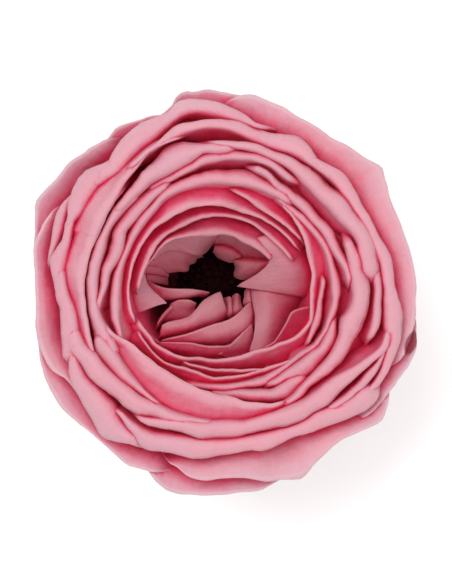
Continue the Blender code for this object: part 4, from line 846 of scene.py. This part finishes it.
def makeStamens(material):
    model = makeStamenModel()
    draw = np.random.default_rng(stamens["seed"])
    floor = bases["wellFloor"] + stamens["overFloor"]
    made = []
    for k in range(stamens["count"]):
        reach = (stamens["discReach"] - stamens["edge"]) * math.sqrt((k + 0.5) / stamens["count"])
        turn = k * math.pi * (3 - math.sqrt(5)) + draw.normal() * stamens["turnUnrest"]
        foot = Vector(inWell([reach * math.cos(turn), reach * math.sin(turn), floor + stamens["footUp"]]))
        tall = draw.uniform(*stamens["lengths"]) - stamens["shorterOutward"] * reach
        splay = stamens["splay"] * reach
        out = Vector((splay * math.cos(turn), splay * math.sin(turn), 1))
        out += Vector(draw.normal(size=3)) * stamens["tiltUnrest"]
        turned = out.to_track_quat("Z", "Y").to_matrix().to_4x4()
        copied = bpy.data.objects.new("stamen", model.data.copy())
        bpy.context.scene.collection.objects.link(copied)
        for vertex in copied.data.vertices:
            if vertex.co.z > 0.4 * mm:
                vertex.co.z += (tall - 1) * mm
        spun = Matrix.Rotation(draw.uniform(0, 3), 4, "Z")
        copied.data.transform(Matrix.Translation(foot * mm) @ turned @ spun)
        made.append(copied)
    bpy.data.objects.remove(model)
    stations = [(share * stamens["discReach"], floor + height) for share, height in stamens["disc"]]
    rings = [inWell(turnedRing(reach, height, stamens["discSides"])) for reach, height in stations]
    made.append(addTurned("stamenDisc", rings))
    cluster = joinAs("stamenCluster", made)
    cluster.data.materials.clear()
    cluster.data.materials.append(material)
    claim(cluster, "stamens")
    return cluster


# the hip on its cut stub, and the five sepals folded back under the bloom
calyx = {
    "hipOutline": [(0.0, 0.0), (2.1, 0.0), (2.3, 0.15), (2.28, 1.4), (2.4, 2.3), (3.3, 3.3), (4.6, 4.4),
                   (5.15, 5.6), (5.1, 6.9), (4.7, 8.1), (4.3, 8.75), (0.0, 8.78)],
    "hipSides": 64,
    "sepalCount": 5,
    "firstBearing": 18.0,
    "sepalWidth": 3.1,  # half of it
    "sepalThickness": 0.55,
    "spine": [(2.8, 6.4, 0.66), (6.0, 7.2, 0.95), (9.5, 6.5, 1.0), (13.0, 3.8, 0.76), (15.4, 1.35, 0.42),
              (16.6, 0.5, 0.24), (17.4, 0.42, 0.05)],  # reach, height, share of the width
    "lobes": (0.16, 26, 0.62),  # size and pace of the small side lobes, and how far down they go
    "keel": 0.5,
    "cup": 0.5,
    "ripple": (0.16, 34),  # size and pace of the waves at the margin
    "flatFrom": 0.9,  # the tip lies flat on what the head stands on
    "columns": 25,
    "rows": 60,
}


def makeCalyx(skinMaterial, sepalMaterial):
    rings = [leaned(turnedRing(reach, height, calyx["hipSides"])) for reach, height in calyx["hipOutline"]]
    hip = addTurned("hipAndStub", rings)
    bpy.ops.object.shade_smooth_by_angle(angle=math.radians(50))
    hip.data.materials.append(skinMaterial)
    claim(hip, "calyx")
    sepals = []
    for k in range(calyx["sepalCount"]):
        bearing = math.radians(calyx["firstBearing"] + 360 * k / calyx["sepalCount"])
        sepals.append(addSepal(f"sepal{k}", bearing, k))
    joined = joinAs("sepals", sepals)
    joined.data.materials.clear()
    joined.data.materials.append(sepalMaterial)
    claim(joined, "calyx")
    return [hip, joined]


def addSepal(name, bearing, seed):
    reach, height, width = np.array(calyx["spine"]).T
    rows, columns = calyx["rows"], calyx["columns"]
    lobeSize, lobePace, lobesUntil = calyx["lobes"]
    rippleSize, ripplePace = calyx["ripple"]
    down = np.linspace(0, 1, rows)
    own = np.concatenate([[0], np.cumsum(np.hypot(np.diff(reach), np.diff(height)))])
    own /= own[-1]
    reach, height, width = [smoothValue(own, line, down) for line in (reach, height, width)]
    across = np.linspace(-1, 1, columns)
    points = np.zeros((rows, columns, 3))
    for j in range(rows):
        lobe = lobeSize * max(math.sin(down[j] * lobePace + seed), 0) ** 2 * (down[j] < lobesUntil)
        half = calyx["sepalWidth"] * (width[j] + lobe * width[j])
        keel = calyx["keel"] * width[j] * (1 - np.abs(across)) ** 1.5
        cup = calyx["cup"] * width[j] * across ** 2 * (1 - down[j])
        ripple = rippleSize * width[j] * np.abs(across) ** 3 * math.sin(down[j] * ripplePace + 2 * seed)
        lift = np.clip((calyx["flatFrom"] - down[j]) * 6, 0, 1)
        side = half * across
        points[j, :, 0] = reach[j] * math.cos(bearing) - side * math.sin(bearing)
        points[j, :, 1] = reach[j] * math.sin(bearing) + side * math.cos(bearing)
        points[j, :, 2] = height[j] + lift * (keel - cup + ripple)
    return addBlade(name, points * mm, calyx["sepalThickness"])


# how open each point of the bloom's skin is to the light, kept as an attribute for the petals' colour
openness = {
    "rays": 20,
    "far": 9.0,
    "clear": 0.12,
    "guardLift": 0.12,
    "basesGain": 0.4,
    "outside": 0.78,  # the guards' outward faces are never taken for less open than this
    "outsideBelow": 35.0,
}


def markOpenness(pieces):
    corners, faces = [], []
    for piece in pieces:
        start = len(corners)
        corners += [vertex.co.copy() for vertex in piece.data.vertices]
        faces += [[start + k for k in face.vertices] for face in piece.data.polygons]
    tree = BVHTree.FromPolygons(corners, faces)
    golden = math.pi * (3 - math.sqrt(5))
    count = openness["rays"]
    fan = []
    for k in range(count):
        up = math.sqrt((k + 0.5) / count)
        out = math.sqrt(1 - up * up)
        fan.append((out * math.cos(k * golden), out * math.sin(k * golden), up))
    for piece in pieces:
        gain = openness["basesGain"] if piece.name == "petalBases" else 1
        lift = openness["guardLift"] if piece.name == "guardPetals" else 0
        values = np.zeros(len(piece.data.vertices))
        for vertex in piece.data.vertices:
            normal = vertex.normal
            side = normal.orthogonal().normalized()
            other = normal.cross(side)
            start = vertex.co + normal * openness["clear"] * mm
            free = 0
            for x, y, z in fan:
                way = side * x + other * y + normal * z
                if tree.ray_cast(start, way, openness["far"] * mm)[0] is None:
                    free += 1
            share = free / count * gain + lift
            outward = normal.x * vertex.co.x + normal.y * vertex.co.y > 0
            if lift and outward and vertex.co.z < openness["outsideBelow"] * mm:
                share = max(share, openness["outside"])
            values[vertex.index] = share
        layer = piece.data.attributes.new("openness", "FLOAT", "POINT")
        layer.data.foreach_set("value", values)


# a socket whose sums and products become Math nodes
class Flow:
    def __init__(self, recipe, socket):
        self.recipe = recipe
        self.socket = socket

    def __add__(self, other):
        return self.recipe.maths("ADD", self, other)

    def __sub__(self, other):
        return self.recipe.maths("SUBTRACT", self, other)

    def __rsub__(self, other):
        return self.recipe.maths("SUBTRACT", other, self)

    def __mul__(self, other):
        return self.recipe.maths("MULTIPLY", self, other)

    def __truediv__(self, other):
        return self.recipe.maths("DIVIDE", self, other)

    def __pow__(self, other):
        return self.recipe.maths("POWER", self, other)

    __radd__ = __add__
    __rmul__ = __mul__


# a material that is written as nodes
class Recipe:
    def __init__(self, name):
        self.material = bpy.data.materials.new(name)
        self.material.use_nodes = True
        self.tree = self.material.node_tree
        self.tree.nodes.clear()

    def node(self, kind, settings, sockets, out=0):
        made = self.tree.nodes.new(kind)
        for key, value in settings.items():
            if key == "stops":
                self.setStops(made.color_ramp, value)
            else:
                setattr(made, key, value)
        for key, value in sockets.items():
            if isinstance(value, Flow):
                self.tree.links.new(value.socket, made.inputs[key])
            else:
                made.inputs[key].default_value = value
        return Flow(self, made.outputs[out] if made.outputs else None)

    def setStops(self, ramp, stops):
        while len(ramp.elements) < len(stops):
            ramp.elements.new(0.5)
        for element, (place, colour) in zip(ramp.elements, stops):
            element.position = place
            element.color = (*colour, 1)

    def second(self, flow, out):
        return Flow(self, flow.socket.node.outputs[out])

    def maths(self, operation, *values):
        return self.node("ShaderNodeMath", {"operation": operation}, dict(enumerate(values)))

    def ramp(self, factor, stops):
        return self.node("ShaderNodeValToRGB", {"stops": stops}, {"Fac": factor})

    def mix(self, factor, first, second, blend="MIX"):
        settings = {"data_type": "RGBA", "blend_type": blend}
        return self.node("ShaderNodeMix", settings, {0: factor, 6: first, 7: second}, 2)

    # goes from 0 to the most as a value goes from one bound to the other
    def share(self, value, bounds, most=1.0):
        return self.node("ShaderNodeMapRange", {}, {0: value, 1: bounds[0], 2: bounds[1], 3: 0.0, 4: most})

    def noise(self, place, scale, detail, roughness=0.5):
        return self.node("ShaderNodeTexNoise", {}, {"Vector": place, "Scale": scale, "Detail": detail,
                                                    "Roughness": roughness})

    def bump(self, height, strength, distance):
        return self.node("ShaderNodeBump", {}, {"Height": height, "Strength": strength, "Distance": distance})


petalLook = {
    # painted shade: from crimson and dark in the shut places between the petals, where little light reaches,
    # to the open skin
    "shadeStops": [(0.0, (0.78, 0.0, 0.05)), (0.13, (0.85, 0.016, 0.115)), (0.34, (0.76, 0.07, 0.175)),
                   (0.56, (0.70, 0.175, 0.265)), (0.8, (0.67, 0.29, 0.365)), (1.0, (0.65, 0.34, 0.405))],
    # from the middle of the head to its edge: darker and greyer in the middle as painted shade of the hollow,
    # paler toward the edge
    "reachStops": [(0.0, (0.84, 0.72, 0.70)), (0.28, (0.88, 0.78, 0.77)), (0.45, (0.97, 0.92, 0.92)),
                   (0.75, (1.0, 1.0, 1.0)), (0.84, (0.97, 1.03, 1.02)), (0.92, (0.93, 1.2, 1.16)),
                   (1.0, (0.90, 1.28, 1.24))],
    "reachWidest": 0.032,
    "middle": (0.00327, -0.00327),
    # painted shade deep in the hollow: darkest and brownest at its floor, fading out upwards, close to the
    # middle only
    "deepShadeStops": [(0.0, (0.30, 0.12, 0.13)), (0.35, (0.58, 0.38, 0.38)), (0.7, (0.88, 0.76, 0.76)),
                  (1.0, (1.0, 1.0, 1.0))],
    "deepFloor": 0.025,
    "deepOver": 0.008,
    "deepWithin": 0.4,
    "deepFade": 9,
    "roughness": 0.62,
    "sheen": 0.12,
    "sheenTint": (0.95, 0.55, 0.62, 1),
    "throughLight": (0.90, 0.16, 0.27, 1),
    "throughShare": 0.3,
    "cloudScale": 150.0,
    "cloudShade": 0.22,
    "veinScale": (46.0, 2.2, 1.0),
    "veinShade": 0.3,
    "grainScale": 900.0,
    "bumpStrength": 0.5,
    "bumpDistance": 0.0004,
    "lilac": (0.60, 0.37, 0.45, 1),
    "lilacScale": 95.0,
    "lilacBounds": (0.5, 0.72),
    "lilacMost": 0.55,
    # painted highlight: a paler line along each petal's free edge, where the thin edge catches the light
    "edgeHighlight": (0.72, 0.46, 0.50, 1),
    "edgeHighlightBounds": (0.965, 0.995),
    "edgeHighlightMost": 0.5,
    "footTint": (0.56, 0.47, 0.30, 1),  # petals are paler and greener at the foot
    "footBounds": (0.020, 0.010),
    "footMost": 0.6,
    "footUnrest": 0.006,
    "bruiseTint": (0.20, 0.038, 0.062, 1),  # the small brown spot on the rim at the lower right
    "bruisePlace": (0.0310, -0.0110),
    "bruiseSize": (0.0010, 0.0019),
    "bruiseLean": 0.45,
    "bruiseUnrest": 0.8,
    "bruiseBounds": (1.1, 0.85),
    "bruiseMost": 0.95,
}


def makePetalMaterial():
    look = petalLook
    recipe = Recipe("petal pink")
    light = recipe.node("ShaderNodeAttribute", {"attribute_name": "openness"}, {}, 2)
    place = recipe.node("ShaderNodeTexCoord", {}, {}, 3)
    own = recipe.node("ShaderNodeTexCoord", {}, {}, 2)
    cloud = recipe.noise(place, look["cloudScale"], 4.0)
    grain = recipe.noise(place, look["grainScale"], 3.0)
    stretched = recipe.node("ShaderNodeMapping", {}, {"Vector": own, "Scale": look["veinScale"]})
    veins = recipe.noise(stretched, 1.0, 5.0, 0.65)
    split = recipe.node("ShaderNodeSeparateXYZ", {}, {0: place})
    y = recipe.second(split, 1)
    height = recipe.second(split, 2)

    # painted shade from the openness to light, with random cloud and vein tone over it
    shadeAndMottle = light + look["cloudShade"] * (cloud - 0.5) + look["veinShade"] * (veins - 0.5)
    base = recipe.ramp(shadeAndMottle, look["shadeStops"])
    lilac = recipe.share(recipe.noise(place, look["lilacScale"], 3.0), look["lilacBounds"], look["lilacMost"])
    base = recipe.mix(lilac * light, base, look["lilac"])
    # painted highlight along the free edge, only where the skin is open to the light
    up = recipe.second(recipe.node("ShaderNodeSeparateXYZ", {}, {0: own}), 1)
    base = recipe.mix(recipe.share(up, look["edgeHighlightBounds"], look["edgeHighlightMost"]) * light, base, look["edgeHighlight"])

    # painted shade: darker and greyer toward the middle of the head, paler toward its edge
    fromX = split - look["middle"][0]
    fromY = y - look["middle"][1]
    reach = (fromX * fromX + fromY * fromY) ** 0.5 / look["reachWidest"]
    base = recipe.mix(1.0, base, recipe.ramp(reach, look["reachStops"]), "MULTIPLY")
    # painted shade: darker and browner low in the hollow, close to the middle only
    outside = recipe.maths("MAXIMUM", reach - look["deepWithin"], 0.0)
    deep = (height - look["deepFloor"]) / look["deepOver"] + look["deepFade"] * outside
    base = recipe.mix(1.0, base, recipe.ramp(deep, look["deepShadeStops"]), "MULTIPLY")

    foot = recipe.share(height + look["footUnrest"] * (veins - 0.5), look["footBounds"], look["footMost"])
    base = recipe.mix(foot, base, look["footTint"])
    along = (y - look["bruisePlace"][1]) / look["bruiseSize"][1]
    aside = (split - look["bruisePlace"][0]) / look["bruiseSize"][0] - look["bruiseLean"] * along
    spot = (aside * aside + along * along) ** 0.5 + look["bruiseUnrest"] * (cloud - 0.5)
    base = recipe.mix(recipe.share(spot, look["bruiseBounds"], look["bruiseMost"]), base, look["bruiseTint"])

    skin = recipe.node("ShaderNodeBsdfPrincipled", {}, {
        "Base Color": base, "Roughness": look["roughness"],
        "Normal": recipe.bump(grain + veins, look["bumpStrength"], look["bumpDistance"]),
        "Sheen Weight": look["sheen"], "Sheen Roughness": 0.5, "Sheen Tint": look["sheenTint"]})
    through = recipe.node("ShaderNodeBsdfTranslucent", {}, {"Color": look["throughLight"]})
    both = recipe.node("ShaderNodeMixShader", {}, {0: look["throughShare"], 1: skin, 2: through})
    recipe.node("ShaderNodeOutputMaterial", {}, {"Surface": both})
    return recipe.material


def plainMaterial(name, colour, roughness, shine=0.5):
    recipe = Recipe(name)
    skin = recipe.node("ShaderNodeBsdfPrincipled", {}, {
        "Base Color": (*colour, 1), "Roughness": roughness, "Specular IOR Level": shine})
    recipe.node("ShaderNodeOutputMaterial", {}, {"Surface": skin})
    return recipe.material


# dried green skin: mottled, browner at a leaf's margins, with fine lines along it
calyxLook = {
    "skin": [(0.25, (0.045, 0.058, 0.018)), (0.5, (0.10, 0.125, 0.04)), (0.75, (0.17, 0.18, 0.075))],
    "roughness": 0.62,
    "cloudScale": 260.0,
    "lineScale": (40.0, 3.0, 1.0),
    "bumpStrength": 0.3,
    "bumpDistance": 0.0003,
    "brown": (0.16, 0.075, 0.035, 1),
    "brownBounds": (0.4, 0.5),
    "brownMost": 0.8,
    "brownUnrest": 0.12,
    "cutFace": (0.42, 0.36, 0.20, 1),
    "cutBounds": (0.0003, 0.0001),
}


def makeCalyxMaterial(name, margins):
    look = calyxLook
    recipe = Recipe(name)
    place = recipe.node("ShaderNodeTexCoord", {}, {}, 3)
    own = recipe.node("ShaderNodeTexCoord", {}, {}, 2)
    cloud = recipe.noise(place, look["cloudScale"], 5.0)
    stretched = recipe.node("ShaderNodeMapping", {}, {"Vector": own, "Scale": look["lineScale"]})
    fine = recipe.noise(stretched, 1.0, 4.0)
    base = recipe.ramp(0.6 * cloud + 0.4 * fine, look["skin"])
    if margins:
        side = recipe.maths("ABSOLUTE", recipe.node("ShaderNodeSeparateXYZ", {}, {0: own}) - 0.5)
        side = side + look["brownUnrest"] * (cloud - 0.5)
        brown = recipe.share(side, look["brownBounds"], look["brownMost"])
        base = recipe.mix(brown, base, look["brown"])
    else:
        height = recipe.second(recipe.node("ShaderNodeSeparateXYZ", {}, {0: place}), 2)
        base = recipe.mix(recipe.share(height, look["cutBounds"]), base, look["cutFace"])
    skin = recipe.node("ShaderNodeBsdfPrincipled", {}, {
        "Base Color": base, "Roughness": look["roughness"],
        "Normal": recipe.bump(cloud + fine, look["bumpStrength"], look["bumpDistance"])})
    recipe.node("ShaderNodeOutputMaterial", {}, {"Surface": skin})
    return recipe.material


bloomPieces = makeBloom(makePetalMaterial())
print("bloom made")
makeStamens(plainMaterial("anther maroon", (0.016, 0.0015, 0.003), 0.85, 0.06))
makeCalyx(makeCalyxMaterial("hip green", False), makeCalyxMaterial("sepal green", True))
print("stamens and calyx made")
markOpenness(bloomPieces)
print("openness marked")

studio = {
    "floorSize": 4,
    "floorColour": (0.95, 0.95, 0.95),
    "worldStrength": 0.85,
    "lamps": {"key": ((-0.3, 0.3, 0.9), 0.6, 6), "fill": ((0.4, -0.4, 0.8), 0.6, 3)},  # place, size, power
    "lampsAimAt": (0, 0, 0.03),
    "cameraHeight": 1.2,  # in metres over the focus
    "focusHeight": 36.0,
    "crownHeight": 42.0,
    "sensorHeight": 24,
    "photoSize": (452, 584),
    "mmPerPixel": 0.15,
}


def makeStudio():
    dropSelection()
    bpy.ops.mesh.primitive_plane_add(size=studio["floorSize"])
    floor = bpy.context.object
    floor.name = "floor"
    floor.data.materials.append(plainMaterial("floor", studio["floorColour"], 0.9))
    world = bpy.data.worlds.new("studio")
    bpy.context.scene.world = world
    world.use_nodes = True
    world.node_tree.nodes["Background"].inputs[0].default_value = (1, 1, 1, 1)
    world.node_tree.nodes["Background"].inputs[1].default_value = studio["worldStrength"]
    for name, (place, size, power) in studio["lamps"].items():
        addLamp(name, place, size, power)
    bpy.context.scene.view_settings.view_transform = "Standard"


def addLamp(name, place, size, power):
    lamp = bpy.data.lights.new(name, "AREA")
    lamp.size = size
    lamp.energy = power
    holder = bpy.data.objects.new(name, lamp)
    bpy.context.scene.collection.objects.link(holder)
    holder.location = place
    aim = Vector(studio["lampsAimAt"]) - Vector(place)
    holder.rotation_euler = aim.to_track_quat("-Z", "Y").to_euler()


# straight over the middle of the crown, with a lens that takes in what the photo does
def makeCamera():
    lens = bpy.data.cameras.new("camera")
    holder = bpy.data.objects.new("camera", lens)
    bpy.context.scene.collection.objects.link(holder)
    middle = leaned(np.array([0.0, 0.0, studio["crownHeight"]])) * mm
    holder.location = (middle[0], middle[1], studio["focusHeight"] * mm + studio["cameraHeight"])
    lens.sensor_fit = "VERTICAL"
    lens.sensor_height = studio["sensorHeight"]
    pictureHeight = studio["photoSize"][1] * studio["mmPerPixel"] * mm
    lens.lens = studio["sensorHeight"] * studio["cameraHeight"] / pictureHeight
    bpy.context.scene.camera = holder


makeStudio()
makeCamera()
print("studio and camera made")
